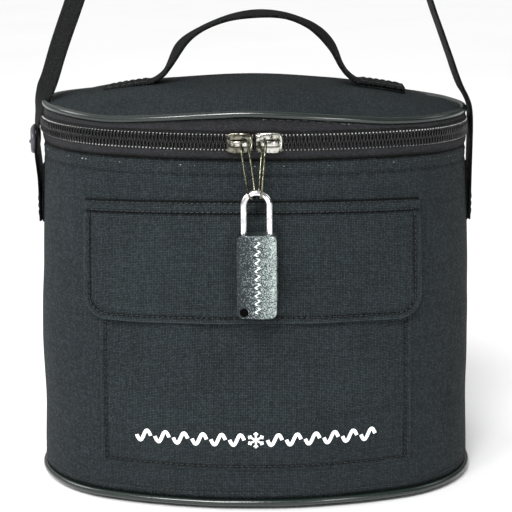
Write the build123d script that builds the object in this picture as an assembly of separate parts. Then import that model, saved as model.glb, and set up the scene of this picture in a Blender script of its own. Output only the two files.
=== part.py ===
from build123d import *
import math
import os

# Insulated lunch cooler bag with a domed zip lid, a flap pocket and a small number padlock.
# Millimetres. The origin is the centre of the base, on the floor. +Z is up and the pocket faces -Y.

# --- driving dimensions -------------------------------------------------------------------
HALF_WIDTH = 127.0
HALF_DEPTH = 80.0
SIDE_RADIUS = 68.0

BASE_FABRIC = 2.0
WALL_FABRIC = 1.5
FOAM = 5.0
LINER = 0.8
TAPE = 1.2

SEAM_Z = 209.0
ZIP_Z = 217.0
BAND_Z = 222.0
RIM_Z = 229.0
PIPING_RADIUS = 2.2
BASE_PIPING_Z = 4.4

ZIP_END_X = 75.0
COIL_HALF = 2.2
COIL_THICK = 1.4
COIL_GAP = 0.8

# How far in from the rim, and how high, the dome of the lid has each of its rings.
DOME_RINGS = ((0, RIM_Z), (-10, 232.0), (-20, 235.5), (-32, 239.5), (-45, 243.5), (-58, 246.0))

WEBBING_WIDTH = 25.0
WEBBING = 2.0

HANDLE_FOOT_IN = 57.5
HANDLE_FOOT_OUT = 91.0
HANDLE_PIVOT_Z = 250.0
HANDLE_ARC_RADIUS = 62.7
HANDLE_TOP_Z = 286.0

POCKET_HALF = 89.0
POCKET_EASE = 6.0
POCKET_FABRIC = 1.2
POCKET_BOTTOM_Z = 24.0
POCKET_TOP_Z = 168.0
POCKET_HEM = 8.0
PATCH_FABRIC = 0.8
PATCH_HALF = 30.0
PATCH_Z = (124.0, 140.0)
PATCH_GAP = 0.1

FLAP_HALF = 95.0
FLAP_TOP_Z = 184.0
FLAP_HINGE_Z = 177.0
FLAP_BOTTOM_Z = 114.0
FLAP_CORNER = 14.0
FLAP_HEM = 4.0
FLAP_CLEARANCE = 0.3

SLIDER_X = 8.0
SLIDER_LENGTH = 13.4
SLIDER_HEIGHT = 11.4
SLIDER_PLATE = 1.2
SLIDER_WEB = 0.5
BRIDGE_RADIUS = 0.7
BRIDGE_SPAN = 8.6
BRIDGE_STANDOFF = 3.9

PULL_TOP_X = (-6.5, 6.0)
PULL_SPREAD = 1.4
PULL_WIRE = 0.8
PULL_LOOP_RADIUS = 3.0

LOCK_WIDTH = 22.6
LOCK_DEPTH = 12.0
LOCK_Z = (120.0, 168.0)
LOCK_X = 1.0
LOCK_FACE_RADIUS = 36.0
LOCK_GAP = 0.5
SHACKLE_WIRE = 1.85
SHACKLE_ARCH = 7.15
SHACKLE_TOP_Z = 191.2
LONG_LEG_Z = 130.0
SHORT_LEG_Z = 161.0
BORE_CLEARANCE = 0.3

DIAL_HEIGHTS = (133.0, 142.5, 152.0)
DIAL_RADIUS = 4.2
DIAL_THICK = 6.4
DIAL_X = LOCK_X + 7.8
SPINDLE_RADIUS = 1.2
BUTTON_RADIUS = 2.3
BUTTON_TRAVEL = 1.0
BUTTON_AT = (LOCK_X - 7.2, 123.8)

STRAP_X = 131.8
STRAP_PIVOT_Z = 172.0
STRAP_STITCH_Z = 158.0
STRAP_LEG = ((STRAP_X, 257.0), (110.0, 287.0))
STRAP_LEAN = 0.315
STRAP_TOP_RADIUS = 62.0
STRAP_BEND_RADIUS = 30.0
ADJUSTER_Z = (199.0, 216.0)

# --- worked out from the driving dimensions -----------------------------------------------
SIDE_CENTRE = HALF_WIDTH - SIDE_RADIUS
FRONT_RADIUS = (SIDE_CENTRE**2 + HALF_DEPTH**2 - SIDE_RADIUS**2) / (2 * (HALF_DEPTH - SIDE_RADIUS))
FRONT_CENTRE = FRONT_RADIUS - HALF_DEPTH
CENTRES_APART = math.hypot(SIDE_CENTRE, FRONT_CENTRE)
COIL_LOWER_TOP = ZIP_Z - COIL_GAP / 2
COIL_UPPER_FOOT = ZIP_Z + COIL_GAP / 2

POCKET_EDGE_Y = FRONT_CENTRE - math.sqrt(FRONT_RADIUS**2 - POCKET_HALF**2)
POCKET_FRONT_Y = -HALF_DEPTH - POCKET_EASE - POCKET_FABRIC
POCKET_BOW = POCKET_EDGE_Y - POCKET_FRONT_Y
POCKET_RADIUS = (POCKET_HALF**2 + POCKET_BOW**2) / (2 * POCKET_BOW)
POCKET_CENTRE = POCKET_FRONT_Y + POCKET_RADIUS
LOOP_RADIUS = POCKET_RADIUS + PATCH_FABRIC
HOOK_RADIUS = LOOP_RADIUS + PATCH_GAP + PATCH_FABRIC
FLAP_RADIUS = HOOK_RADIUS + POCKET_FABRIC
FLAP_FRONT_Y = POCKET_CENTRE - FLAP_RADIUS
LOCK_Y = FLAP_FRONT_Y - LOCK_GAP - LOCK_DEPTH / 2

PLATE_GROW = COIL_THICK + 0.3
BRIDGE_GROW = PLATE_GROW + SLIDER_PLATE + BRIDGE_STANDOFF
BRIDGE_Y = -HALF_DEPTH - BRIDGE_GROW


def oval(grow=0.0):
    """The oval plan of the bag, grown outwards: four tangent arcs on fixed centres."""
    side = SIDE_RADIUS + grow
    corner_x = SIDE_CENTRE + side * SIDE_CENTRE / CENTRES_APART
    corner_y = side * FRONT_CENTRE / CENTRES_APART
    deep = HALF_DEPTH + grow
    wide = HALF_WIDTH + grow
    return Wire([
        ThreePointArc((corner_x, -corner_y), (wide, 0), (corner_x, corner_y)).edge(),
        ThreePointArc((corner_x, corner_y), (0, deep), (-corner_x, corner_y)).edge(),
        ThreePointArc((-corner_x, corner_y), (-wide, 0), (-corner_x, -corner_y)).edge(),
        ThreePointArc((-corner_x, -corner_y), (0, -deep), (corner_x, -corner_y)).edge(),
    ])


def slab(grow, low, high):
    """A solid oval plate."""
    return Pos(0, 0, low) * extrude(Face(oval(grow)), high - low)


def ring(inner, outer, low, high):
    """An oval wall between two growths of the plan."""
    return slab(outer, low, high) - slab(inner, low, high)


def block(x, y, z):
    """A box between two corners, each axis given as (low, high)."""
    size = [high - low for low, high in (x, y, z)]
    middle = [(high + low) / 2 for low, high in (x, y, z)]
    return Pos(*middle) * Box(*size)


def piping(grow, z):
    """A round cord sewn round the oval plan."""
    start = Plane(origin=(0, -HALF_DEPTH - grow, z), x_dir=(0, 1, 0), z_dir=(1, 0, 0))
    path = Pos(0, 0, z) * oval(grow)
    return sweep(start * Circle(PIPING_RADIUS), path=path)


def dome(shift=0.0, drop=0.0):
    """The solid under the lid's dome, moved in by shift and down by drop."""
    rings = [Pos(0, 0, z - drop) * oval(inset - shift) for inset, z in DOME_RINGS]
    return loft([Face(wire) for wire in rings], ruled=True)


def front_arc(centre_y, radius, low, high):
    """A solid cylinder about an upright axis on the centre line."""
    return Pos(0, centre_y, (low + high) / 2) * Cylinder(radius, high - low)


def front_sheet(inner, outer, half, low, high):
    """A sheet curved round the pocket's axis, cut to a width."""
    band = front_arc(POCKET_CENTRE, outer, low, high) - front_arc(POCKET_CENTRE, inner, low, high)
    return band & block((-half, half), (-HALF_DEPTH * 2, 0), (low, high))


def rounded_flap(half, low, high, corner):
    """A long bar along Y with the outline of the flap, round at its lower corners."""
    with BuildSketch(Plane.XZ) as face:
        with Locations((0, (low + high) / 2)):
            Rectangle(2 * half, high - low)
        fillet(face.vertices().group_by(Axis.Z)[0], corner)
    return extrude(face.sketch, 2 * HALF_DEPTH)


def back_sector(low, high, margin=0.0):
    """The stretch at the back that has no zipper."""
    half = ZIP_END_X + margin
    return block((-half, half), (0, 2 * HALF_DEPTH), (low, high))


# --- bag body -----------------------------------------------------------------------------
def body_shell():
    """The base, the wall, its foam, the liner and the binding round the mouth."""
    wall_in = -WALL_FABRIC
    foam_in = wall_in - FOAM
    liner_in = foam_in - LINER
    base_foam = BASE_FABRIC + FOAM
    foam_top = SEAM_Z - 1.5
    return {
        "bottom_panel": slab(0, 0, BASE_FABRIC),
        "outer_shell": ring(wall_in, 0, BASE_FABRIC, SEAM_Z),
        "bottom_foam": slab(wall_in, BASE_FABRIC, base_foam),
        "foam_wall": ring(foam_in, wall_in, base_foam, foam_top),
        "liner_floor": slab(foam_in, base_foam, base_foam + LINER),
        "liner_wall": ring(liner_in, foam_in, base_foam + LINER, foam_top),
        "mouth_binding": ring(liner_in - LINER, wall_in, foam_top, foam_top + 2.0),
    }


def bottom_piping():
    """The cord round the foot of the wall, cut to the face of the fabric."""
    return piping(0.8, BASE_PIPING_Z) - slab(0, 0, SEAM_Z)


def zipper_half(low, high, coil_low):
    """One side of the zipper: its woven tape and its coil, open at the back of the bag."""
    gap = back_sector(low - 1, high + 1)
    tape = ring(-TAPE, 0, low, high) - gap
    coil = ring(0, COIL_THICK, coil_low, coil_low + COIL_HALF) - back_sector(low - 1, high + 1, 2.0)
    return tape, coil


def hinge_strip():
    """The fabric hinge that joins the lid to the wall at the back."""
    strip = ring(0, 0.8, SEAM_Z - 4.0, ZIP_Z - 0.2)
    return strip & back_sector(SEAM_Z - 4.0, ZIP_Z, -1.0)


def zipper_end_tabs():
    """The two small tabs of fabric that cover the ends of the zipper."""
    low, high = SEAM_Z - 2.0, COIL_LOWER_TOP
    band = ring(0, 1.6, low, high)
    tabs = []
    for side in (-1, 1):
        inner, outer = sorted((side * (ZIP_END_X - 0.9), side * (ZIP_END_X + 1.9)))
        tabs.append(band & block((inner, outer), (0, 2 * HALF_DEPTH), (low, high)))
    return Compound(children=[tab.solid() for tab in tabs])


def strap_anchor(side):
    """A length of webbing sewn flat on the side of the bag."""
    sheet = ring(0, WEBBING, STRAP_STITCH_Z, STRAP_PIVOT_Z + 22.0)
    half = WEBBING_WIDTH / 2
    x = sorted((side * SIDE_CENTRE, side * 2 * HALF_WIDTH))
    return sheet & block(x, (-half, half), (0, SEAM_Z))


def pocket():
    """The patch pocket: its panel, the hem along its top and the loop patch."""
    inner = POCKET_RADIUS - POCKET_FABRIC
    hem_z = POCKET_TOP_Z - POCKET_HEM
    wall = slab(0, 0, SEAM_Z)
    panel = front_sheet(inner, POCKET_RADIUS, POCKET_HALF, POCKET_BOTTOM_Z, hem_z) - wall
    floor = front_arc(POCKET_CENTRE, inner, POCKET_BOTTOM_Z, POCKET_BOTTOM_Z + POCKET_FABRIC)
    floor = floor & block((-POCKET_HALF, POCKET_HALF), (-2 * HALF_DEPTH, 0), (0, SEAM_Z))
    hem = front_sheet(inner, POCKET_RADIUS, POCKET_HALF, hem_z, POCKET_TOP_Z) - wall
    loop = front_sheet(POCKET_RADIUS, LOOP_RADIUS, PATCH_HALF, *PATCH_Z)
    return {
        "pocket_panel": panel + (floor - wall),
        "pocket_hem": hem,
        "pocket_loop_patch": loop,
    }


def flap_seam():
    """The sewn top of the flap, from the wall of the bag out to the fold."""
    low = FLAP_HINGE_Z + FLAP_CLEARANCE
    ledge = front_arc(POCKET_CENTRE, FLAP_RADIUS, low, FLAP_TOP_Z)
    ledge = ledge & block((-FLAP_HALF, FLAP_HALF), (-2 * HALF_DEPTH, 0), (low, FLAP_TOP_Z))
    return ledge - slab(0, 0, SEAM_Z)


def flap():
    """The flap over the pocket, the hem round its edge and its hook patch."""
    top = FLAP_HINGE_Z - FLAP_CLEARANCE
    sheet = front_sheet(HOOK_RADIUS, FLAP_RADIUS, FLAP_HALF, FLAP_BOTTOM_Z, top)
    whole = sheet & rounded_flap(FLAP_HALF, FLAP_BOTTOM_Z, top, FLAP_CORNER)
    inner = rounded_flap(FLAP_HALF - FLAP_HEM, FLAP_BOTTOM_Z + FLAP_HEM, top, FLAP_CORNER - FLAP_HEM)
    hook = front_sheet(LOOP_RADIUS + PATCH_GAP, HOOK_RADIUS, PATCH_HALF, *PATCH_Z)
    return {
        "pocket_flap": whole & inner,
        "flap_hem": whole - inner,
        "flap_hook_patch": hook,
    }


# --- lid ----------------------------------------------------------------------------------
def lid():
    """The domed lid: band, panel, foam and liner, each a shell under the one outside it."""
    floor = slab(2, RIM_Z - 60, RIM_Z)
    skin = dome() - dome(WALL_FABRIC, WALL_FABRIC)
    foam_shift = WALL_FABRIC + FOAM
    liner_shift = foam_shift + LINER
    foam = dome(WALL_FABRIC, WALL_FABRIC) - dome(foam_shift, foam_shift)
    liner = dome(foam_shift, foam_shift) - dome(liner_shift, liner_shift)
    band = ring(-TAPE, 0, BAND_Z, RIM_Z)
    return {
        "lid_band": band,
        "lid_panel": skin,
        "lid_foam": foam - floor,
        "lid_liner": liner - floor,
    }


def lid_piping():
    """The cord round the rim of the lid."""
    return piping(0.0, RIM_Z) - slab(0, RIM_Z - 8, RIM_Z) - dome()


def handle_feet():
    """The two ends of the carry handle, sewn flat on the dome."""
    half = WEBBING_WIDTH / 2
    skin = dome(-1.6, -1.6) - dome()
    feet = []
    for side in (-1, 1):
        x = sorted((side * HANDLE_FOOT_IN, side * HANDLE_FOOT_OUT))
        feet.append(skin & block(x, (-half, half), (RIM_Z, HANDLE_TOP_Z)))
    return Compound(children=[foot.solid() for foot in feet])


def carry_handle():
    """The loop of the handle. Its legs narrow at the foot, where the webbing folds as it swings."""
    centre_z = HANDLE_TOP_Z - HANDLE_ARC_RADIUS
    loop = Cylinder(HANDLE_ARC_RADIUS, WEBBING_WIDTH) - Cylinder(HANDLE_ARC_RADIUS - WEBBING, WEBBING_WIDTH)
    loop = Pos(0, 0, centre_z) * Rot(90, 0, 0) * loop
    low = HANDLE_PIVOT_Z + 0.4
    knee = low + 18.0
    half = WEBBING_WIDTH / 2
    outline = Polyline(
        (-2, low), (2, low), (half, knee), (half, HANDLE_TOP_Z + 1), (-half, HANDLE_TOP_Z + 1), (-half, knee),
        close=True,
    )
    wedge = extrude(Plane.YZ * Face(Wire(outline.edges())), HALF_WIDTH, both=True)
    return loop & wedge


# --- zipper sliders and pulls ---------------------------------------------------------------
def slider(side):
    """One metal slider: front and back plates, the web between them and the bridge wire."""
    front_low = -HALF_DEPTH - PLATE_GROW
    front = RectangleRounded(SLIDER_LENGTH, SLIDER_HEIGHT, 3.2)
    facing = Plane(origin=(0, front_low, ZIP_Z), x_dir=(1, 0, 0), z_dir=(0, -1, 0))
    front = extrude(facing * front, SLIDER_PLATE)
    back_face = -HALF_DEPTH + TAPE + 0.5
    back = RectangleRounded(SLIDER_LENGTH - 2.0, SLIDER_HEIGHT - 2.4, 2.6)
    rear = Plane(origin=(0, back_face, ZIP_Z), x_dir=(1, 0, 0), z_dir=(0, 1, 0))
    back = extrude(rear * back, SLIDER_PLATE)
    web_x = (-SLIDER_LENGTH / 2 + 2.0, SLIDER_LENGTH / 2 - 4.0)
    web_z = (ZIP_Z - SLIDER_WEB / 2, ZIP_Z + SLIDER_WEB / 2)
    web = block(web_x, (front_low - 0.2, back_face + 0.2), web_z)
    reach = BRIDGE_SPAN / 2
    path = FilletPolyline(
        (-reach, front_low - 0.6, ZIP_Z),
        (-reach, BRIDGE_Y, ZIP_Z),
        (reach, BRIDGE_Y, ZIP_Z),
        (reach, front_low - 0.6, ZIP_Z),
        radius=1.5,
    )
    start = Plane(origin=(-reach, front_low - 0.6, ZIP_Z), z_dir=(0, -1, 0))
    bridge = sweep(start * Circle(BRIDGE_RADIUS), path=Wire(path.edges()))
    whole = front + back + web + bridge
    angle = math.degrees(side * SLIDER_X / FRONT_RADIUS)
    return Pos(0, FRONT_CENTRE, 0) * Rot(0, 0, angle) * Pos(0, -FRONT_CENTRE, 0) * whole


def wire_loop(top, foot):
    """A long closed loop of wire whose round ends are centred on two points."""
    top, foot = Vector(*top), Vector(*foot)
    along = (foot - top).normalized()
    across = (Vector(0, 1, 0) - along * along.Y).normalized()
    plane = Plane(origin=top, x_dir=along, z_dir=along.cross(across))
    length = (foot - top).length
    r = PULL_LOOP_RADIUS
    start = Plane(origin=plane.from_local_coords((length / 2, r, 0)), z_dir=along)
    outline = Wire([
        Line((length / 2, r), (length, r)).edge(),
        ThreePointArc((length, r), (length + r, 0), (length, -r)).edge(),
        Line((length, -r), (0, -r)).edge(),
        ThreePointArc((0, -r), (-r, 0), (0, r)).edge(),
        Line((0, r), (length / 2, r)).edge(),
    ])
    return sweep(start * Circle(PULL_WIRE), path=plane * outline)


def pull(index):
    """One long wire pull, from a slider's bridge down to the crown of the shackle."""
    top_x, end_x = PULL_TOP_X[index], LOCK_X + (-PULL_SPREAD, PULL_SPREAD)[index]
    crown_z = SHACKLE_TOP_Z - SHACKLE_ARCH + math.sqrt(SHACKLE_ARCH**2 - (end_x - LOCK_X) ** 2)
    return wire_loop((top_x, BRIDGE_Y - 1.3, ZIP_Z - 0.4), (end_x, LOCK_Y, crown_z + 0.2))


# --- padlock --------------------------------------------------------------------------------
def shackle():
    """The steel shackle, with a long captive leg on the left and a short one on the right."""
    shoulder = SHACKLE_TOP_Z - SHACKLE_ARCH
    left, right = LOCK_X - SHACKLE_ARCH, LOCK_X + SHACKLE_ARCH
    path = Wire([
        Line((left, LOCK_Y, LONG_LEG_Z), (left, LOCK_Y, shoulder)).edge(),
        ThreePointArc(
            (left, LOCK_Y, shoulder), (LOCK_X, LOCK_Y, SHACKLE_TOP_Z), (right, LOCK_Y, shoulder)
        ).edge(),
        Line((right, LOCK_Y, shoulder), (right, LOCK_Y, SHORT_LEG_Z)).edge(),
    ])
    start = Plane(origin=(left, LOCK_Y, LONG_LEG_Z), z_dir=(0, 0, 1))
    return sweep(start * Circle(SHACKLE_WIRE), path=path)


def upright(x, radius, low, high):
    """An upright round bar in the middle plane of the padlock."""
    return Pos(x, LOCK_Y, (low + high) / 2) * Cylinder(radius, high - low)


def lock_case():
    """The padlock's solid case: round corners, and a face that bulges from side to side."""
    low, high = LOCK_Z
    half = LOCK_WIDTH / 2
    deep = LOCK_DEPTH / 2
    case = block((LOCK_X - half, LOCK_X + half), (LOCK_Y - deep, LOCK_Y + deep), LOCK_Z)
    case = fillet(case.edges().filter_by(Axis.Y), 3.5)
    bulge = Cylinder(LOCK_FACE_RADIUS, high - low + 2)
    case &= Pos(LOCK_X, LOCK_Y - deep + LOCK_FACE_RADIUS, (low + high) / 2) * bulge
    return fillet(case.faces().sort_by(Axis.Y)[0].edges(), 0.9)


def lock_parts():
    """The padlock's case in two shells, with its latch, spindle, number dials and button."""
    low, high = LOCK_Z
    half = LOCK_WIDTH / 2
    deep = LOCK_DEPTH / 2
    case = lock_case()
    bore = SHACKLE_WIRE + BORE_CLEARANCE
    case -= upright(LOCK_X - SHACKLE_ARCH, bore, LONG_LEG_Z - 2, high + 1)
    case -= upright(LOCK_X + SHACKLE_ARCH, bore, SHORT_LEG_Z - 2, high + 1)
    dials = {}
    for number, z in enumerate(DIAL_HEIGHTS, start=1):
        room = DIAL_THICK / 2 + 0.3
        case -= upright(DIAL_X, DIAL_RADIUS + 0.4, z - room, z + room)
        wheel = upright(DIAL_X, DIAL_RADIUS, z - DIAL_THICK / 2, z + DIAL_THICK / 2)
        dials[f"dial_{number}"] = wheel - upright(DIAL_X, SPINDLE_RADIUS + 0.1, low, high)
    spindle = (DIAL_HEIGHTS[0] - 6.0, DIAL_HEIGHTS[-1] + 5.5)
    case -= upright(DIAL_X, SPINDLE_RADIUS + 0.05, *spindle)
    latch = ((LOCK_X - 3.4, LOCK_X + 0.6), (LOCK_Y - 3.0, LOCK_Y + 3.0), (low + 8.0, low + 38.0))
    case -= block(*latch)
    button_x, button_z = BUTTON_AT
    face = Plane(origin=(button_x, LOCK_Y - deep - 1, button_z), z_dir=(0, 1, 0))
    case -= extrude(face * Circle(BUTTON_RADIUS + 0.2), deep)
    seat = Plane(origin=(button_x, LOCK_Y - deep + 0.2, button_z), z_dir=(0, 1, 0))
    button = extrude(seat * Circle(BUTTON_RADIUS), deep - 1.4 - BUTTON_TRAVEL)
    front = block((LOCK_X - half, LOCK_X + half), (LOCK_Y - deep, LOCK_Y), LOCK_Z)
    return {
        "lock_front_shell": case & front,
        "lock_back_shell": case - front,
        "lock_latch": block(*latch),
        "dial_spindle": upright(DIAL_X, SPINDLE_RADIUS, *spindle),
        "reset_button": button,
        **dials,
    }


# --- shoulder strap -------------------------------------------------------------------------
def shoulder_strap():
    """The webbing loop from one side of the bag to the other, with round ends at its stitching."""
    knee, shoulder = STRAP_LEG
    peak = (0.0, shoulder[1] + shoulder[0] / STRAP_LEAN)
    foot_z = STRAP_PIVOT_Z - WEBBING_WIDTH / 2
    points = [(STRAP_X, foot_z), knee, shoulder, peak]
    points += [(-x, z) for x, z in reversed(points[:-1])]
    bend = STRAP_BEND_RADIUS
    path = FilletPolyline(*[(x, 0, z) for x, z in points], radius=(bend, bend, STRAP_TOP_RADIUS, bend, bend))
    start = Plane(origin=(STRAP_X, 0, foot_z), x_dir=(1, 0, 0), z_dir=(0, 0, 1))
    strap = sweep(start * Rectangle(WEBBING, WEBBING_WIDTH), path=Wire(path.edges()))
    length = 3 * HALF_WIDTH
    end_disc = Pos(0, 0, STRAP_PIVOT_Z) * Rot(0, 90, 0) * Cylinder(WEBBING_WIDTH / 2, length)
    above = block((-length / 2, length / 2), (-HALF_DEPTH, HALF_DEPTH), (STRAP_PIVOT_Z, 4 * STRAP_PIVOT_Z))
    return (strap & end_disc) + (strap & above)


def strap_adjuster():
    """The oval plastic slide that the webbing runs through."""
    low, high = ADJUSTER_Z
    inner_x = STRAP_X - WEBBING / 2 - 1.0
    outline = RectangleRounded(31.0, high - low, 6.0)
    frame = Plane(origin=(-inner_x, 0, (low + high) / 2), x_dir=(0, 1, 0), z_dir=(-1, 0, 0)) * outline
    body = extrude(frame, 5.0)
    tunnel = block(
        (-STRAP_X - WEBBING / 2 - 0.2, -STRAP_X + WEBBING / 2 + 0.2), (-13.0, 13.0), (low - 1, high + 1)
    )
    return body - tunnel


def build():
    """Every sub-part of the bag, by name."""
    tape_lower, coil_lower = zipper_half(SEAM_Z, ZIP_Z - 1.0, COIL_LOWER_TOP - COIL_HALF)
    tape_upper, coil_upper = zipper_half(ZIP_Z + 1.0, BAND_Z, COIL_UPPER_FOOT)
    return {
        **body_shell(),
        "bottom_piping": bottom_piping(),
        "zipper_tape_lower": tape_lower,
        "zipper_coil_lower": coil_lower,
        "zipper_end_tabs": zipper_end_tabs(),
        "hinge_strip": hinge_strip(),
        "strap_anchor_left": strap_anchor(-1),
        "strap_anchor_right": strap_anchor(1),
        **pocket(),
        "flap_seam": flap_seam(),
        **flap(),
        **lid(),
        "lid_piping": lid_piping(),
        "zipper_tape_upper": tape_upper,
        "zipper_coil_upper": coil_upper,
        "handle_feet": handle_feet(),
        "carry_handle": carry_handle(),
        "slider_left": slider(-1),
        "slider_right": slider(1),
        "pull_left": pull(0),
        "pull_right": pull(1),
        "shackle": shackle(),
        **lock_parts(),
        "shoulder_strap": shoulder_strap(),
        "strap_adjuster": strap_adjuster(),
    }


os.makedirs("parts", exist_ok=True)
for name, shape in build().items():
    export_step(shape, f"parts/{name}.step")
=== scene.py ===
import math

import bmesh
import bpy
import numpy as np
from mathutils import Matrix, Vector


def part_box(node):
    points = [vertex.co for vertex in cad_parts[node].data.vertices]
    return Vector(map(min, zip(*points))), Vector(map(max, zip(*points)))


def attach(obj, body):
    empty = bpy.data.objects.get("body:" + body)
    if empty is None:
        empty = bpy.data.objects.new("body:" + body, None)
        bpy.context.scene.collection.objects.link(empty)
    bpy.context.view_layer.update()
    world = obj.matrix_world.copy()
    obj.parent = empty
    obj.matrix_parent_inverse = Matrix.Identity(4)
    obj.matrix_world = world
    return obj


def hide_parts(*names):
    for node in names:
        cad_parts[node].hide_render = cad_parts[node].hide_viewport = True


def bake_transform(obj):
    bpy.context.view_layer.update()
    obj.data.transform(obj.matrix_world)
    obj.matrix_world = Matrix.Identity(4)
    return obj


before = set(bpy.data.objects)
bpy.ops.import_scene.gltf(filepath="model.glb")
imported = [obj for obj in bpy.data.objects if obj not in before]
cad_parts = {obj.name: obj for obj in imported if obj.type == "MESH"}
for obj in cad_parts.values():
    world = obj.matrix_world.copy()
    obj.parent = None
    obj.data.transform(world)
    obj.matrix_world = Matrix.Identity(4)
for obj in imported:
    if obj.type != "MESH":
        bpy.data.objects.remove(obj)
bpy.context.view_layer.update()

# --- sizes in metres, from the frame where it has them ---
MM = 0.001
WALL_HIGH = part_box("outer_shell")[1]
HALF_WIDTH = WALL_HIGH.x
HALF_DEPTH = WALL_HIGH.y
SEAM_Z = WALL_HIGH.z
SIDE_RADIUS = 68 * MM
ZIP_Z = (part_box("zipper_coil_lower")[1].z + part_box("zipper_coil_upper")[0].z) / 2
BAND_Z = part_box("lid_band")[0].z
RIM_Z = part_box("lid_band")[1].z
RIM_BOW = 4.3 * MM
RIM_TILT = 2.4 * MM
RIM_TUCK = 1.3 * MM
ZIP_TILT = 1.5 * MM
ZIP_END_X = 75 * MM
FLARE = 4.9 * MM
PIPING_RADIUS = 2.1 * MM
BASE_PIPING_Z = 4.4 * MM
FOOT_STITCH_Z = 10.5 * MM
DOME_RISE = 13.2 * MM
COIL_PITCH = 2.1 * MM
COIL_HALF = 3.9 * MM
COIL_MESH = 0.35 * MM
WEBBING_WIDTH = 25 * MM
WEBBING = 1.7 * MM
HANDLE_WEBBING = 2.3 * MM
HANDLE_ROOT = 57.5 * MM
STRAP_TOP_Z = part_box("shoulder_strap")[1].z
STRAP_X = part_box("shoulder_strap")[1].x - MM
SEWN_STRAP_X = 130.3 * MM
SLIDER_X = 8.1 * MM
SLIDER_HALF_LENGTH = 7.6 * MM
SLIDER_HALF_HEIGHT = 6.2 * MM
PULL_WIRE = 0.82 * MM
POCKET_LOW_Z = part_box("pocket_panel")[0].z
POCKET_TOP_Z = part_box("pocket_hem")[1].z
POCKET_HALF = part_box("pocket_panel")[1].x
POCKET_STITCH = 3.2 * MM
FLAP_LOW_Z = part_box("flap_hem")[0].z
FLAP_TOP_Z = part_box("flap_seam")[1].z
FLAP_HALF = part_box("flap_hem")[1].x
FLAP_CORNER = 14 * MM
FLAP_SHIFT = -1.7 * MM
FLAP_DROOP = 2.3 * MM
HEM = 3.4 * MM
PRINT_Z = 44 * MM
LOCK_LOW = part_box("lock_front_shell")[0]
LOCK_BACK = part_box("lock_back_shell")
LOCK_X = (LOCK_BACK[0].x + LOCK_BACK[1].x) / 2
LOCK_Y = LOCK_BACK[0].y
LOCK_FACE_RADIUS = 36 * MM
SHACKLE_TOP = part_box("shackle")[1].z

SIDE_CENTRE = HALF_WIDTH - SIDE_RADIUS
FRONT_RADIUS = (SIDE_CENTRE**2 + HALF_DEPTH**2 - SIDE_RADIUS**2) / (2 * (HALF_DEPTH - SIDE_RADIUS))
FRONT_CENTRE = FRONT_RADIUS - HALF_DEPTH
FRONT_ANGLE = math.atan2(SIDE_CENTRE, FRONT_CENTRE)
FRONT_ARC = FRONT_RADIUS * FRONT_ANGLE
SIDE_ARC = SIDE_RADIUS * (math.pi - 2 * FRONT_ANGLE)
PERIMETER = 4 * FRONT_ARC + 2 * SIDE_ARC
OVAL_AREA = 2 * FRONT_RADIUS * FRONT_ARC - 2 * FRONT_CENTRE * SIDE_CENTRE + SIDE_RADIUS * SIDE_ARC
OVAL_FLAT = (2 * HALF_WIDTH, 2 * HALF_DEPTH)
ZIP_END = PERIMETER / 2 - FRONT_RADIUS * math.asin(ZIP_END_X / FRONT_RADIUS)


# --- small sums ---
def unit(vectors):
    """The same directions with length one."""
    vectors = np.asarray(vectors, float)
    return vectors / np.linalg.norm(vectors, axis=-1, keepdims=True)


def full_turn(count):
    return np.linspace(0, 2 * math.pi, count, endpoint=False)


def line_at(distance, width):
    """1 on a line and 0 away from it, where distance is how far a point is from the line."""
    return np.exp(-((distance / width) ** 2))


def flattened(values, power):
    """A power that keeps the sign: it squares the corners of a round outline."""
    return np.sign(values) * np.abs(values) ** power


def spread(low, high, count, border, fine):
    """Values from low to high that lie close together near both ends."""
    near = np.arange(0, border, fine)
    return np.concatenate([low + near, np.linspace(low + border, high - border, count), high - near[::-1]])


def ripple(u, v, scale, seed, waves=14):
    """A smooth random surface of about unit height, the same each run."""
    rng = np.random.default_rng(seed)
    total = 0.0
    for _ in range(waves):
        direction = rng.uniform(0, 2 * math.pi)
        size = 2 * math.pi / (scale * rng.uniform(0.6, 1.8))
        phase = rng.uniform(0, 2 * math.pi)
        total = total + np.sin(size * (math.cos(direction) * u + math.sin(direction) * v) + phase)
    return total / math.sqrt(waves / 2)


def lengths_along(path):
    """Distance along a path at each of its points."""
    return np.concatenate([[0], np.cumsum(np.linalg.norm(np.diff(path, axis=0), axis=1))])


def along(path, lengths, at):
    """Points of a path at some distances along it."""
    return np.stack([np.interp(at, lengths, path[:, k]) for k in range(3)], -1)


def smooth_path(points, count):
    """Evenly spaced points on a smooth curve that passes through the given ones."""
    points = np.asarray(points, float)
    ends = np.vstack([2 * points[0] - points[1], points, 2 * points[-1] - points[-2]])
    line = []
    for i in range(1, len(ends) - 2):
        a, b, c, d = ends[i - 1 : i + 3]
        span = np.linalg.norm(c - b)
        leave = (c - a) * span / (np.linalg.norm(b - a) + span)
        arrive = (d - b) * span / (np.linalg.norm(d - c) + span)
        t = np.linspace(0, 1, 40, endpoint=False)[:, None]
        line.append(
            (2 * t**3 - 3 * t**2 + 1) * b + (t**3 - 2 * t**2 + t) * leave
            + (3 * t**2 - 2 * t**3) * c + (t**3 - t**2) * arrive
        )
    line = np.vstack(line + [points[-1:]])
    lengths = lengths_along(line)
    return along(line, lengths, np.linspace(0, lengths[-1], count))


# --- the oval plan ---
def oval_angle(s):
    """Direction of the outward normal at arc length s from the front centre, positive to the right."""
    turns = [-math.pi, FRONT_ANGLE - math.pi, -FRONT_ANGLE, FRONT_ANGLE, math.pi - FRONT_ANGLE, math.pi]
    places = np.cumsum([-PERIMETER / 2, FRONT_ARC, SIDE_ARC, 2 * FRONT_ARC, SIDE_ARC, FRONT_ARC])
    wrapped = (np.asarray(s, float) + PERIMETER / 2) % PERIMETER - PERIMETER / 2
    return np.interp(wrapped, places, turns)


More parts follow.
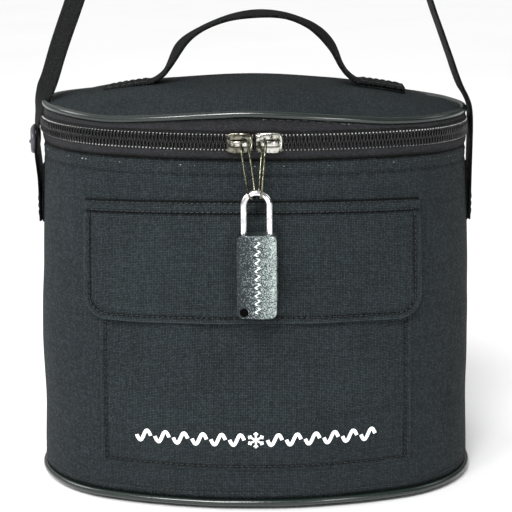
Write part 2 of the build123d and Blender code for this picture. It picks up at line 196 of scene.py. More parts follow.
def oval_point(s, out=0.0):
    """x, y and outward normal of the oval wall at arc length s, moved outwards by out."""
    a = oval_angle(s)
    nx, ny = np.sin(a), -np.cos(a)
    near = np.abs(a) < FRONT_ANGLE
    far = np.abs(a) > math.pi - FRONT_ANGLE
    radius = np.where(near | far, FRONT_RADIUS, SIDE_RADIUS) + out
    cx = np.where(near | far, 0.0, np.sign(nx) * SIDE_CENTRE)
    cy = np.where(near, FRONT_CENTRE, np.where(far, -FRONT_CENTRE, 0.0))
    return cx + radius * nx, cy + radius * ny, nx, ny


def whole_oval(count):
    """Arc lengths all the way round, from the middle of the back."""
    return np.linspace(-PERIMETER / 2, PERIMETER / 2, count, endpoint=False)


def wall_path(s, z, out):
    """Points of the oval wall at height z, standing off it by out, and their outward normals."""
    x, y, nx, ny = oval_point(s, out)
    return np.stack([x, y, z + 0 * x], -1), np.stack([nx, ny, 0 * nx], -1)


def front_point(x, z, out):
    """A point over the front of the bag at x, standing off the wall by out, and its arc length."""
    s = FRONT_RADIUS * np.arcsin(np.clip(x / FRONT_RADIUS, -1, 1))
    px, py, _, _ = oval_point(s, out)
    return px, py, z + 0 * px, s


# --- meshes ---
def make_mesh(name, points, faces, uvs):
    """A mesh object from points, faces and one (u, v) in metres for each point."""
    mesh = bpy.data.meshes.new(name)
    mesh.from_pydata([tuple(p) for p in points], [], [tuple(f) for f in faces])
    layer = mesh.uv_layers.new(name="metres")
    for loop in mesh.loops:
        layer.data[loop.index].uv = uvs[loop.vertex_index]
    mesh.polygons.foreach_set("use_smooth", [True] * len(mesh.polygons))
    mesh.update()
    obj = bpy.data.objects.new(name, mesh)
    bpy.context.scene.collection.objects.link(obj)
    return obj


def grid_faces(rows, columns, closed=False, flip=False):
    """Quads over a grid of points stored row by row. A closed grid joins its last column to its first."""
    faces = []
    for i in range(rows - 1):
        for j in range(columns if closed else columns - 1):
            k = (j + 1) % columns
            quad = (i * columns + j, i * columns + k, (i + 1) * columns + k, (i + 1) * columns + j)
            faces.append(quad[::-1] if flip else quad)
    return faces


def capped_faces(rows, sides):
    """Faces of a row of closed sections, with a cap on both ends."""
    caps = [tuple(range(sides))[::-1], tuple((rows - 1) * sides + j for j in range(sides))]
    return grid_faces(rows, sides, closed=True) + caps


def grid_mesh(name, x, y, z, u, v, closed=False):
    """A grid object from arrays of the same two-dimensional shape."""
    points = np.stack([x, y, z], -1).reshape(-1, 3)
    uvs = np.stack([u, v], -1).reshape(-1, 2)
    return make_mesh(name, points, grid_faces(*x.shape, closed), uvs)


def wall_band(name, s, z, out, closed=False):
    """A sheet that follows the oval wall: s across, z up, out is how far it stands off the wall."""
    s, z = np.broadcast_arrays(s, z)
    x, y, _, _ = oval_point(s, np.broadcast_to(out, s.shape))
    return grid_mesh(name, x, y, z, s, z, closed)


def front_sheet(name, x, z, out, place=front_point):
    """A sheet over the front of the bag."""
    x, z = np.broadcast_arrays(x, z)
    px, py, pz, s = place(x, z, out)
    return grid_mesh(name, px, py, pz, s, z)


def close_centre(obj, columns, rows):
    """Fills the middle of a grid of rings with one face."""
    graph = bmesh.new()
    graph.from_mesh(obj.data)
    graph.verts.ensure_lookup_table()
    graph.faces.new([graph.verts[(rows - 1) * columns + i] for i in range(columns)])
    return settle(obj, graph)


def weld(obj, distance=1e-6):
    """Joins points that lie on each other."""
    graph = bmesh.new()
    graph.from_mesh(obj.data)
    bmesh.ops.remove_doubles(graph, verts=graph.verts, dist=distance)
    return settle(obj, graph)


def settle(obj, graph):
    """Makes the normals of an edited mesh agree and gives it back to its object."""
    bmesh.ops.recalc_face_normals(graph, faces=graph.faces)
    graph.to_mesh(obj.data)
    graph.free()
    return obj


def oval_rings(name, s, inset, height):
    """A closed sheet across the oval, made of rings moved in by inset, at height(x, y, inset)."""
    grid_s, grid_in = np.meshgrid(s, inset)
    x, y, _, _ = oval_point(grid_s, grid_in)
    sheet = grid_mesh(name, x, y, height(x, y, grid_in), x, y, closed=True)
    return close_centre(sheet, len(s), len(inset))


def paint_light_and_shade(obj, values):
    """Marks the points of a grid with painted highlight where above 0 and painted shade where below 0; the
    cloth materials add it to their tone.
    """
    mark = obj.data.attributes.new("wear_and_painted_light", "FLOAT", "POINT")
    mark.data.foreach_set("value", np.asarray(values, "f").ravel())


def solidify(obj, thickness, bevel=0.0):
    """Gives a sheet its thickness inwards and rounds its edges where bevel is set, as plain mesh."""
    shell = obj.modifiers.new("thickness", "SOLIDIFY")
    shell.thickness = thickness
    shell.offset = -1.0
    shell.use_even_offset = False
    if bevel:
        rounding = obj.modifiers.new("rounding", "BEVEL")
        rounding.width = bevel
        rounding.segments = 2
        rounding.limit_method = "ANGLE"
        rounding.angle_limit = math.radians(50)
    graph = bpy.context.evaluated_depsgraph_get()
    graph.update()
    solid = obj.evaluated_get(graph)
    mesh = bpy.data.meshes.new_from_object(solid, preserve_all_data_layers=True, depsgraph=graph)
    obj.modifiers.clear()
    obj.data = mesh
    return obj


def swept(centre, side, up, wide, high):
    """Points of a section of the given widths and heights, moved along a centre line."""
    return centre[:, None] + wide[..., None] * side[:, None] + high[..., None] * up[:, None]


def round_section(radii, sides):
    """Widths and heights of a circle for each of the radii."""
    turn = full_turn(sides)
    return np.outer(radii, np.cos(turn)), np.outer(radii, np.sin(turn))


def tube(name, path, radius, sides=10, closed=False, around=None):
    """A round tube along a path of points. around gives a fixed second direction for the sections."""
    count = len(path)
    ahead = unit(np.roll(path, -1, 0) - np.roll(path, 1, 0) if closed else np.gradient(path, axis=0))
    if around is None:
        side = np.zeros_like(path)
        side[0] = unit(np.cross(ahead[0], (0.3, 0.2, 0.9)))
        for i in range(1, count):
            side[i] = unit(side[i - 1] - ahead[i] * np.dot(side[i - 1], ahead[i]))
    else:
        side = unit(np.cross(ahead, around))
    section = round_section(np.broadcast_to(radius, count), sides)
    points = swept(path, side, np.cross(side, ahead), *section)
    u = np.repeat(lengths_along(path), sides)
    v = np.tile(full_turn(sides) * np.mean(radius), count)
    if closed:
        last = (count - 1) * sides
        faces = grid_faces(count, sides, closed=True)
        faces += [(last + j, last + (j + 1) % sides, (j + 1) % sides, j) for j in range(sides)]
    else:
        faces = capped_faces(count, sides)
    return make_mesh(name, points.reshape(-1, 3), faces, np.stack([u, v], -1))


def wall_cord(name, s, z, out, radius, sides):
    """A closed round cord that lies on the oval wall."""
    path, _ = wall_path(s, z, out)
    return tube(name, path, radius, sides, closed=True, around=(0, 0, 1))


def ribbon(name, centre, across, width, thickness, columns=11):
    """A webbing ribbon with soft edges: centre line, direction across it, width and thickness."""
    across = unit(across)
    face = unit(np.cross(unit(np.gradient(centre, axis=0)), across))
    half_turn = np.linspace(0, math.pi, columns)
    flat = flattened(-np.cos(half_turn), 0.75)
    edge = np.sin(half_turn) ** 0.35
    low = range(columns - 2, 0, -1)
    wide = np.array([*flat, *(flat[i] for i in low)]) * width / 2
    thick = np.array([*edge, *(-edge[i] for i in low)]) * thickness / 2
    points = swept(centre, across, face, wide, thick)
    u = np.repeat(lengths_along(centre), len(wide))
    uvs = np.stack([u, np.tile(wide, len(centre))], -1)
    return make_mesh(name, points.reshape(-1, 3), capped_faces(len(centre), len(wide)), uvs)


def turned_across(path, twist):
    """Directions across a path that lies in the front plane: straight back, turned about it by twist."""
    back = np.tile([0.0, 1.0, 0.0], (len(path), 1))
    face = np.cross(unit(np.gradient(path, axis=0)), back)
    return np.cos(twist)[:, None] * back + np.sin(twist)[:, None] * face


def join_meshes(name, parts):
    """One object from several lists of (points, faces)."""
    points, faces, base = [], [], 0
    for part_points, part_faces in parts:
        points.append(part_points)
        faces += [tuple(base + i for i in face) for face in part_faces]
        base += len(part_points)
    points = np.concatenate(points)
    return make_mesh(name, points, faces, points[:, [0, 2]])


def stitch_row(name, path, normals, length=2.6 * MM, gap=0.9 * MM, radius=0.27 * MM, dip=0.08 * MM):
    """A row of sewn stitches along a path: short rounded threads whose ends dip into the cloth."""
    lengths = lengths_along(path)
    count = max(1, int(lengths[-1] / (length + gap)))
    step = lengths[-1] / count
    stations = np.array([-0.5, -0.42, -0.2, 0.2, 0.42, 0.5]) * (step - gap)
    swell = np.array([0.35, 0.85, 1.0, 1.0, 0.85, 0.35])
    sink = np.array([-1.6, -0.5, 1.0, 1.0, -0.5, -1.6])
    sides = 6
    faces = capped_faces(len(stations), sides)
    parts = []
    for i in range(count):
        at = (i + 0.5) * step + stations
        centre = along(path, lengths, at)
        normal = unit(along(normals, lengths, at))
        side = np.cross(unit(centre[-1] - centre[0]), normal)
        middle = centre + normal * (sink * dip)[:, None]
        points = swept(middle, side, normal, *round_section(radius * swell, sides))
        parts.append((points.reshape(-1, 3), faces))
    return join_meshes(name, parts)


# --- materials ---
def plug(tree, value, socket):
    """Links a value to a shader socket, or sets the socket to a plain number or colour."""
    if isinstance(value, Value):
        tree.links.new(value.socket, socket)
    else:
        socket.default_value = (*value, 1.0) if isinstance(value, tuple) else value


class Value:
    """A node's output that takes part in plain sums. Each sum adds one math node."""

    def __init__(self, tree, socket):
        self.tree = tree
        self.socket = socket

    def math(self, operation, *others):
        node = self.tree.nodes.new("ShaderNodeMath")
        node.operation = operation
        for value, socket in zip((self, *others), node.inputs):
            plug(self.tree, value, socket)
        return Value(self.tree, node.outputs[0])

    def __add__(self, other):
        return self.math("ADD", other)

    def __mul__(self, other):
        return self.math("MULTIPLY", other)

    def __pow__(self, other):
        return self.math("POWER", other)

    def cell(self, pitch):
        """The number of the cell of that pitch that the value is in."""
        return self.math("DIVIDE", pitch).math("FLOOR")

    def humps(self, pitch):
        """One round hump from 0 to 1 and back over each pitch."""
        return (self * (math.pi / pitch)).math("SINE").math("ABSOLUTE")

    def parts(self, kind="ShaderNodeSeparateXYZ"):
        """The three components of a vector or a colour."""
        node = self.tree.nodes.new(kind)
        plug(self.tree, self, node.inputs[0])
        return [Value(self.tree, output) for output in node.outputs]


class Nodes:
    """A small helper that adds the nodes of one material or world."""

    def __init__(self, owner):
        self.owner = owner
        owner.use_nodes = True
        self.tree = owner.node_tree

    def add(self, kind, output=0, settings=(), **inputs):
        """Adds a node with its settings and inputs, and gives one of its outputs."""
        node = self.tree.nodes.new(kind)
        for key, value in settings:
            setattr(node, key, value)
        self.feed(node, inputs)
        return Value(self.tree, node.outputs[output])

    def feed(self, node, inputs):
        for key, value in inputs.items():
            plug(self.tree, value, node.inputs[key.replace("_", " ")])

    def uv(self):
        """The u and v of the metre-scale map."""
        return self.add("ShaderNodeUVMap", settings=[("uv_map", "metres")]).parts()[:2]

    def wear_and_painted_light(self):
        """The painted highlight (above 0) and painted shade (below 0) marked on the cloth's points."""
        return self.add("ShaderNodeAttribute", "Fac", [("attribute_name", "wear_and_painted_light")])

    def place(self):
        return self.add("ShaderNodeTexCoord", "Object")

    def grain(self, u, v, pitch, seed=0.0):
        """A random number for every cell of a grid of that pitch."""
        cell = self.add("ShaderNodeCombineXYZ", X=u.cell(pitch), Y=v.cell(pitch), Z=seed)
        return self.add("ShaderNodeTexWhiteNoise", Vector=cell)

    def noise(self, scale, detail=3.0, rough=0.55):
        sizes = {"Scale": scale, "Detail": detail, "Roughness": rough}
        return self.add("ShaderNodeTexNoise", "Fac", Vector=self.place(), **sizes)

    def ramp(self, value, *stops):
        """Colours along a value. A stop is a place and a colour."""
        node = self.tree.nodes.new("ShaderNodeValToRGB")
        elements = node.color_ramp.elements
        while len(elements) < len(stops):
            elements.new(0.5)
        for element, (at, color) in zip(elements, stops):
            element.position = at
            element.color = (*color, 1.0)
        plug(self.tree, value, node.inputs[0])
        return Value(self.tree, node.outputs[0])

    def mix(self, amount, first, second):
        node = self.tree.nodes.new("ShaderNodeMix")
        node.data_type = "RGBA"
        for index, value in ((0, amount), (6, first), (7, second)):
            plug(self.tree, value, node.inputs[index])
        return Value(self.tree, node.outputs[2])

    def bump(self, height, distance, strength=1.0, **after):
        return self.add("ShaderNodeBump", Height=height, Distance=distance, Strength=strength, **after)

    def finish(self, color, roughness, **inputs):
        shader = self.tree.nodes["Principled BSDF"]
        self.feed(shader, {"Base Color": color, "Roughness": roughness, **inputs})
        return self.owner


def material(name):
    return Nodes(bpy.data.materials.new(name))


def woven_polyester(name, dark, light, pitch=0.95 * MM):
    """Coated black pack cloth: plain weave, no two crossings alike, a faint cool cast."""
    nodes = material(name)
    u, v = nodes.uv()
    over = (u.cell(pitch) + v.cell(pitch)).math("PINGPONG", 1.0)
    height = over * u.humps(pitch) ** 0.6 + (over * -1.0 + 1.0) * v.humps(pitch) ** 0.6
    crossing = nodes.grain(u, v, pitch) ** 2.0
    threads = nodes.grain(u, v * 0.04, pitch, 3.0) + nodes.grain(u * 0.04, v, pitch, 5.0)
    patch = nodes.noise(26.0, 4.0, 0.6)
    # painted light: the highlight and shade marked on the cloth's points goes into its tone here
    tone = crossing * 0.22 + height * 0.62 + patch * 0.16 + threads * 0.06 + nodes.wear_and_painted_light()
    color = nodes.ramp(tone, (0.38, dark), (1.0, light))
    normal = nodes.bump(patch, 0.8 * MM, 0.35, Normal=nodes.bump(height, 0.3 * MM))
    return nodes.finish(color, crossing * -0.2 + 0.82, Normal=normal, Specular_IOR_Level=0.12)


def twill_tape(name, dark, light, pitch=1.15 * MM):
    """Zipper tape and trim: fine slanted ribs."""
    nodes = material(name)
    u, v = nodes.uv()
    slant = u + v * 1.2
    rib = slant.humps(pitch)
    fleck = nodes.grain(slant, v, 0.55 * MM) ** 3.0
    # painted light: the highlight and shade marked on the tape's points goes into its tone here
    tone = rib * 0.45 + fleck * 0.5 + nodes.noise(40.0) * 0.15 + nodes.wear_and_painted_light()
    color = nodes.ramp(tone, (0.2, dark), (1.0, light))
    return nodes.finish(color, 0.75, Normal=nodes.bump(rib, 0.2 * MM), Specular_IOR_Level=0.2)


def webbing_weave(name, dark, light, rib=1.7 * MM):
    """Ribbed webbing: chevron ribs along it and a tighter edge."""
    nodes = material(name)
    u, v = nodes.uv()
    lane = (v + 0.05).math("PINGPONG", 3.1 * MM)
    slant = u + lane * 0.9
    height = slant.humps(rib) * 0.7 + v.humps(1.05 * MM) * 0.45
    fleck = nodes.grain(slant, v, 0.6 * MM) ** 2.0
    color = nodes.ramp(fleck * 0.5 + height * 0.55 + -0.1, (0.36, dark), (0.98, light))
    return nodes.finish(color, 0.6, Normal=nodes.bump(height, 0.6 * MM), Specular_IOR_Level=0.06)


def glossy_vinyl(name, base, gloss):
    """Smooth extruded vinyl piping, slightly uneven."""
    nodes = material(name)
    wave = nodes.noise(55.0, 3.0, 0.5)
    scuff = nodes.noise(700.0, 3.0, 0.6)
    color = nodes.mix(scuff, base, tuple(c * 1.7 + 0.004 for c in base))
    rough = scuff * 0.2 + wave * 0.1 + (gloss - 0.1)
    return nodes.finish(color, rough, Normal=nodes.bump(wave, 0.5 * MM, 0.4), Specular_IOR_Level=0.68)


def moulded_plastic(name, base, rough, shine=0.5):
    """Moulded plastic with a fine texture."""
    nodes = material(name)
    grain = nodes.noise(2600.0, 3.0, 0.7)
    color = nodes.mix(nodes.noise(120.0, 2.0), base, tuple(c * 2.0 for c in base))
    normal = nodes.bump(grain, 0.04 * MM, 0.6)
    return nodes.finish(color, grain * 0.18 + (rough - 0.06), Normal=normal, Specular_IOR_Level=shine)


def plated_metal(name, base, rough, wear_and_painted_light):
    """Plated metal with fine pits and slightly worn patches."""
    nodes = material(name)
    pits = nodes.noise(1500.0, 4.0, 0.7)
    dull = nodes.ramp(nodes.noise(240.0, 3.0, 0.6), (0.46, (0, 0, 0)), (0.62, (1, 1, 1)))
    roughness = dull * 0.22 + pits * 0.16 + (rough - 0.08)
    return nodes.finish(
        nodes.mix(dull, base, wear_and_painted_light), roughness, Normal=nodes.bump(pits, 0.03 * MM, 0.5), Metallic=1.0
    )


def hammered_paint(name):
    """Grey-green lacquer full of fine light flecks, slightly hammered, with painted light that makes it
    lighter to the right.
    """
    nodes = material(name)
    cells = nodes.add("ShaderNodeTexVoronoi", "Color", Scale=2500.0, Vector=nodes.place())
    fleck = cells.parts("ShaderNodeSeparateColor")[0] ** 2.0
    # Painted light: the tone rises towards the right of the lock, where the face catches more light.
    painted_light_rightwards = nodes.place().parts()[0] + -LOCK_X
    tone = nodes.noise(300.0, 3.0, 0.6) * 0.3 + fleck * 0.85 + painted_light_rightwards * 34.0
    dark, middle, light = (0.009, 0.013, 0.015), (0.04, 0.056, 0.066), (0.42, 0.49, 0.46)
    color = nodes.ramp(tone, (0.1, dark), (0.5, middle), (0.95, light))
    normal = nodes.bump(nodes.noise(900.0, 2.0, 0.5), 0.12 * MM, 0.7)
    return nodes.finish(color, 0.32, Normal=normal, Metallic=0.8, Coat_Weight=0.4, Coat_Roughness=0.3)


def foil_liner(name):
    """Silvery film over foam, with soft creases."""
    nodes = material(name)
    crease = nodes.noise(38.0, 5.0, 0.55)
    fine = nodes.noise(320.0, 3.0, 0.6) * 0.2
    color = nodes.ramp(crease, (0.3, (0.50, 0.52, 0.53)), (0.7, (0.72, 0.74, 0.75)))
    return nodes.finish(color, fine + 0.2, Normal=nodes.bump(fine + crease, 2.2 * MM, 0.9), Metallic=0.85)


def speckled(name, noise, low, high, rough, shine=0.5, bump=None):
    """A surface of two tones, each a place on the noise and a colour, and a bump if there is one."""
    nodes = material(name)
    grain = nodes.noise(*noise)
    relief = {"Normal": nodes.bump(grain, *bump)} if bump else {}
    return nodes.finish(nodes.ramp(grain, low, high), rough, Specular_IOR_Level=shine, **relief)


def sewing_thread(name, dark, light):
    """Glossy twisted nylon thread."""
    return speckled(name, (2200.0, 2.0, 0.5), (0.35, dark), (0.7, light), 0.35, 0.45, (0.05 * MM, 0.7))


CLOTH_COLOURS = ((0.0008, 0.0015, 0.0016), (0.032, 0.042, 0.046))
TAPE_COLOURS = ((0.001, 0.001, 0.0012), (0.038, 0.039, 0.043))
WEBBING_COLOURS = ((0.0002, 0.0002, 0.0002), (0.021, 0.0232, 0.0219))
HOOK_COLOURS = ((0.004, 0.004, 0.004), (0.03, 0.03, 0.03))
FOAM_CELLS = ((900.0, 3.0, 0.6), (0.3, (0.62, 0.63, 0.64)), (0.7, (0.8, 0.81, 0.82)))
# Painted glints: bright specks in the seam thread's colour.
GLINTS = ((170.0, 2.0, 0.5), (0.6, (0.004, 0.005, 0.005)), (0.68, (0.4, 0.42, 0.41)))
FLOOR_TONES = ((3.0, 2.0), (0.3, (0.86, 0.86, 0.86)), (0.7, (0.88, 0.88, 0.88)))
MATERIALS = {
    "cloth": woven_polyester("pack_cloth", *CLOTH_COLOURS),
    "tape": twill_tape("zipper_tape", *TAPE_COLOURS),
    "webbing": webbing_weave("webbing", *WEBBING_COLOURS),
    "hook": woven_polyester("hook_and_loop", *HOOK_COLOURS, 1.4 * MM),
    "vinyl": glossy_vinyl("vinyl_piping", (0.0028, 0.0075, 0.0052), 0.17),
    "coil": moulded_plastic("nylon_coil", (0.004, 0.004, 0.0042), 0.1, 0.3),
    "black_plastic": moulded_plastic("black_plastic", (0.0005, 0.0005, 0.0005), 0.5, 0.03),
    "grey_plastic": moulded_plastic("grey_plastic", (0.035, 0.033, 0.04), 0.32),
    "print": moulded_plastic("white_print", (0.62, 0.63, 0.64), 0.5),
    "nickel": plated_metal("nickel", (0.6, 0.59, 0.54), 0.12, (0.045, 0.04, 0.026)),
    # A darker copy of the nickel with painted shade, for the left slider's plate.
    "shaded_nickel": plated_metal("shaded_nickel", (0.22, 0.21, 0.165), 0.1, (0.02, 0.018, 0.012)),
    # Painted reflection: the pull wires' nickel gets a dark base colour that stands in for the dark
    # surroundings it reflects.
    "wire": plated_metal("pull_wire", (0.17, 0.17, 0.125), 0.16, (0.022, 0.022, 0.015)),
    "chrome": plated_metal("chrome", (0.8, 0.79, 0.81), 0.07, (0.6, 0.6, 0.62)),
    "lock": hammered_paint("hammered_lacquer"),
    "foil": foil_liner("foil_liner"),
    "foam": speckled("foam", *FOAM_CELLS, 0.85, bump=(0.2 * MM, 0.8)),
    "thread": sewing_thread("black_thread", (0.002, 0.0025, 0.003), (0.014, 0.017, 0.018)),
    # Real tape stitching, coloured bright as a painted glint for the sparkling rows along the zipper.
    "thread_with_painted_glints": sewing_thread("stitching", (0.12, 0.12, 0.12), (0.75, 0.75, 0.72)),
    # seam thread whose bright specks are painted glints
    "glinting": speckled("seam_thread", *GLINTS, 0.35, 0.6),
    "floor": speckled("pale_floor", *FLOOR_TONES, 0.8),
}


def paint(obj, key):
    obj.data.materials.clear()
    obj.data.materials.append(MATERIALS[key])


def add_piece(obj, key, body, nodes=()):
    """Paints a piece, hangs it on its body, and hides the CAD nodes that it stands for."""
    paint(obj, key)
    if body:
        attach(obj, body)
    if nodes:
        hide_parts(*nodes)
    return obj


def sew(name, line, body, slot, thread="thread", **sizes):
    """Adds a row of stitches as a piece of its own. The line is a path and its normals."""
    return add_piece(stitch_row(name, *line, **sizes), thread, body)


# --- bag body ---
def rim_height(s):
    """The rim bows up at the middle of the front, dips beside it, and hangs a little to the right."""
    away = np.abs((np.asarray(s, float) + PERIMETER / 2) % PERIMETER - PERIMETER / 2)
    bow = line_at(away, 0.05) + 0.5 * line_at(away - PERIMETER / 2, 0.07)
    dip = 1.4 * MM * line_at(away - 0.088, 0.024)
    return RIM_Z - 0.8 * MM + RIM_BOW * bow - dip - RIM_TILT * np.sin(oval_angle(s))


def zip_sag(s):
    """The zipper hangs a little lower on the right of the bag than on the left."""
    return -ZIP_TILT * np.sin(oval_angle(s))


def flare(z):
    """How much the wall spreads at height z, from nothing under the zipper to its most at the foot."""
    return FLARE * (1 - np.clip(np.asarray(z) / SEAM_Z, 0, 1) ** 1.8)


def wall_offset(s, z):
    """Soft unevenness of the wall: the spread to the foot, gentle hollows and a slight pinch."""
    middle = np.sin(np.pi * np.clip((z - 0.01) / (SEAM_Z - 0.01), 0, 1))
    pinch = 0.9 * MM * line_at(z - 0.05, 0.02) * np.sin(oval_angle(s)) ** 2
    soft = 0.45 * MM * ripple(s, z * 1.4, 0.16, 3) + 0.12 * MM * ripple(s, z, 0.035, 4)
    return flare(z) + middle * soft - pinch


def body_wall():
    """The wall of pack cloth, from the foot piping to the seam under the zipper."""
    foot_z, crease_z = 5.2 * MM, SEAM_Z - 11 * MM
    s = whole_oval(360)[None, :]
    foot, middle = np.linspace(foot_z, 0.013, 14), np.linspace(0.0155, SEAM_Z - 0.0165, 66)
    z = np.concatenate([foot, middle, np.linspace(SEAM_Z - 0.015, SEAM_Z, 24)])[:, None]
    tuck = 1.1 * MM * line_at(z - foot_z, 1.6 * MM) + 0.9 * MM * line_at(SEAM_Z - z, 2.6 * MM)
    groove = 0.35 * MM * line_at(z - FOOT_STITCH_Z, 0.9 * MM) + 0.3 * MM * line_at(z - crease_z, 1.3 * MM)
    out = wall_offset(s, z) - tuck - groove
    wall = wall_band("wall_cloth", s, z + zip_sag(s) * (z / SEAM_Z) ** 4, out, closed=True)
    # Painted shade: dark lines just under the zipper tape and above the foot piping, and a fainter one along
    # the crease.
    dark = 0.5 * line_at(SEAM_Z - 2.4 * MM - z, 1.0 * MM) + 0.4 * line_at(z - 7.2 * MM, 1.2 * MM)
    paint_light_and_shade(wall, -dark - 0.14 * line_at(z - crease_z, 1.0 * MM) + 0 * s)
    add_piece(solidify(wall, 0.9 * MM), "cloth", "bag", ["outer_shell"])
    ring = np.linspace(-PERIMETER / 2, PERIMETER / 2, 361)
    seam_z = SEAM_Z - 5.6 * MM + 0 * ring
    line = wall_path(ring, seam_z + zip_sag(ring), wall_offset(ring, seam_z))
    sizes = {"length": 1.0 * MM, "gap": 1.8 * MM, "radius": 0.28 * MM}
    sew("seam_stitches", line, "bag", "shell_fabric", "glinting", **sizes)


def foot():
    """The base cloth, the glossy piping round the foot and the stitches above it."""
    s = whole_oval(360)
    inset = np.array([0.2, -0.6, -2.0, -4.5, -12, -30, -50, -66]) * MM + FLARE * np.linspace(1, 0, 8)
    height = np.array([2.6, 1.2, 0.4, 0.1, 0.05, 0.05, 0.05, 0.05])[:, None] * MM
    base = oval_rings("base_cloth", s, inset, lambda x, y, grid_in: height + 0 * x)
    add_piece(base, "cloth", "bag", ["bottom_panel"])
    z = BASE_PIPING_Z + 0.12 * MM * ripple(s, s * 0, 0.05, 8)
    cord = wall_cord("foot_piping", s, z, FLARE - 0.2 * MM, PIPING_RADIUS, 14)
    add_piece(cord, "vinyl", "bag", ["bottom_piping"])
    ring = np.append(s, s[0])
    line = wall_path(ring, FOOT_STITCH_Z, wall_offset(ring, FOOT_STITCH_Z + 0 * ring) - 0.1 * MM)
    sew("foot_stitches", line, "bag", "shell_fabric")


def tape_and_stitches():
    """The zipper's lower tape on the bag and its upper tape on the lid, each with a row of stitches."""
    s = np.linspace(-ZIP_END, ZIP_END, 420)
    sizes = {"length": 0.8 * MM, "gap": 1.3 * MM, "radius": 0.42 * MM}
    for name, low, high, body, seam, side in (
        ("lower", SEAM_Z - 1.8 * MM, ZIP_Z - 0.9 * MM, "bag", 0, -1),
        ("upper", ZIP_Z + 0.9 * MM, BAND_Z + 1.2 * MM, "lid", 1, 1),
    ):
        z = np.linspace(low, high, 12)[:, None]
        stitch_z = ZIP_Z + side * 4.2 * MM
        swell = 0.55 * MM * np.sin(np.pi * (z - low) / (high - low)) ** 0.7
        dip = 0.4 * MM * line_at(z - stitch_z, 0.7 * MM)
        out = swell - dip + 0.25 * MM + 0.1 * MM * ripple(s[None, :], z, 0.02, 5)
        tape = wall_band(f"{name}_tape", s[None, :], z + zip_sag(s)[None, :], out)
        # Painted shade: a dark line along the edge where each tape is sewn on.
        paint_light_and_shade(tape, -0.5 * line_at(z - (low, high)[seam], 1.2 * MM) + 0 * s[None, :])
        add_piece(solidify(tape, 0.8 * MM), "tape", body, [f"zipper_tape_{name}"])
        line = wall_path(s, stitch_z + zip_sag(s), 0.95 * MM)
        # these stitches carry the painted glints along the zipper
        sew(f"{name}_tape_stitches", line, body, "coil", "thread_with_painted_glints", **sizes)


def zipper_coils():
    """The two nylon coils: broad flattened loops sewn on their tapes, whose heads mesh in the middle."""
    turns = int(2 * ZIP_END / COIL_PITCH)
    per_turn = 16
    t = np.arange(turns * per_turn) / per_turn
    reach = flattened(np.cos(2 * math.pi * t), 0.55)
    lift = flattened(np.sin(2 * math.pi * t), 0.7)
    radius = 0.5 * MM * (1.0 + 0.3 * np.clip(reach, 0, 1) ** 6)
    for name, side, body in (("lower", -1, "bag"), ("upper", 1, "lid")):
        s = -ZIP_END + COIL_PITCH * (t + 0.25 * side)
        z = ZIP_Z + side * (COIL_HALF / 2 - COIL_MESH - reach * (COIL_HALF / 2 + COIL_MESH))
        path, _ = wall_path(s, z + zip_sag(s), 1.15 * MM + 0.7 * MM * lift)
        coil = tube(f"{name}_coil", path, radius, 7)
        add_piece(coil, "coil", body, [f"zipper_coil_{name}"])


def inside():
    """The film liner, its floor, and the binding round the mouth."""
    s = whole_oval(240)
    low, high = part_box("liner_wall")
    face = high.x - HALF_WIDTH - 0.8 * MM
    z = np.linspace(low.z, high.z, 50)[:, None]
    fade = np.sin(np.pi * (z - low.z) / (high.z - low.z)) ** 0.5
    crease = 0.8 * MM * ripple(s[None, :], z * 1.3, 0.05, 11) * fade
    wall = wall_band("liner_film", s[None, :], z, face - 1.0 * MM + crease, closed=True)
    add_piece(solidify(wall, 0.3 * MM), "foil", "bag", ["liner_wall"])
    flat = (PERIMETER + 2 * math.pi * face, high.z - low.z)

    def floor_height(x, y, grid_in):
        raised = 1.2 * MM * np.exp((grid_in - face) / (3 * MM))
        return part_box("liner_floor")[1].z + 0.3 * MM + 0.5 * MM * ripple(x, y, 0.06, 12) + raised

    inset = np.array([0, -4, -12, -24, -36, -48, -59]) * MM + face - 0.8 * MM
    film = oval_rings("liner_base", s, inset, floor_height)
    add_piece(film, "foil", "bag", ["liner_floor"])
    flat = (OVAL_FLAT[0] + 2 * face, OVAL_FLAT[1] + 2 * face)
    OVAL_AREA + PERIMETER * face
    mouth_binding(s)


def mouth_binding(s):
    """The binding folded over the edge of foam and film round the mouth."""
    low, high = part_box("mouth_binding")
    turn, grid_s = np.meshgrid(full_turn(14), s, indexing="ij")
    out = -4.6 * MM + 3.3 * MM * flattened(np.cos(turn), 0.6)
    x, y, _, _ = oval_point(grid_s, out)
    z = (low.z + high.z) / 2 + 0.2 * MM + 1.7 * MM * np.sin(turn) + 0.15 * MM * ripple(grid_s, out, 0.03, 13)
    x, y, z, u = (np.vstack([a, a[:1]]) for a in (x, y, z, grid_s))
    v = np.repeat(np.linspace(0, 0.016, 15)[:, None], len(s), 1)
    binding = weld(grid_mesh("mouth_tape", x, y, z, u, v, closed=True))
    add_piece(binding, "tape", "bag", ["mouth_binding"])


# --- lid ---
def dome_z(x, y):
    """Height of the lid's cloth over a point of the plan."""
    s = np.linspace(-PERIMETER / 2, PERIMETER / 2, 721)
    rim_x, rim_y, _, _ = oval_point(s, -RIM_TUCK)
    bearing = np.unwrap(np.arctan2(rim_x, -rim_y))
    here = np.arctan2(x, -np.asarray(y))
    share = np.clip(np.hypot(x, y) / np.interp(here, bearing, np.hypot(rim_x, rim_y)), 0, 1)
    rim = np.interp(here, bearing, rim_height(s))
    soft = 0.35 * MM * ripple(x, y, 0.11, 21) * (1 - share**6)
    return RIM_Z + (rim - RIM_Z) * share**1.5 + DOME_RISE * (1 - share**3.8) ** 1.3 + soft


def lid_height(x):
    """Height of the lid's cloth over the middle line, at x, on the right or the left alike."""
    x = np.abs(np.atleast_1d(x))
    return dome_z(x, 0 * x)


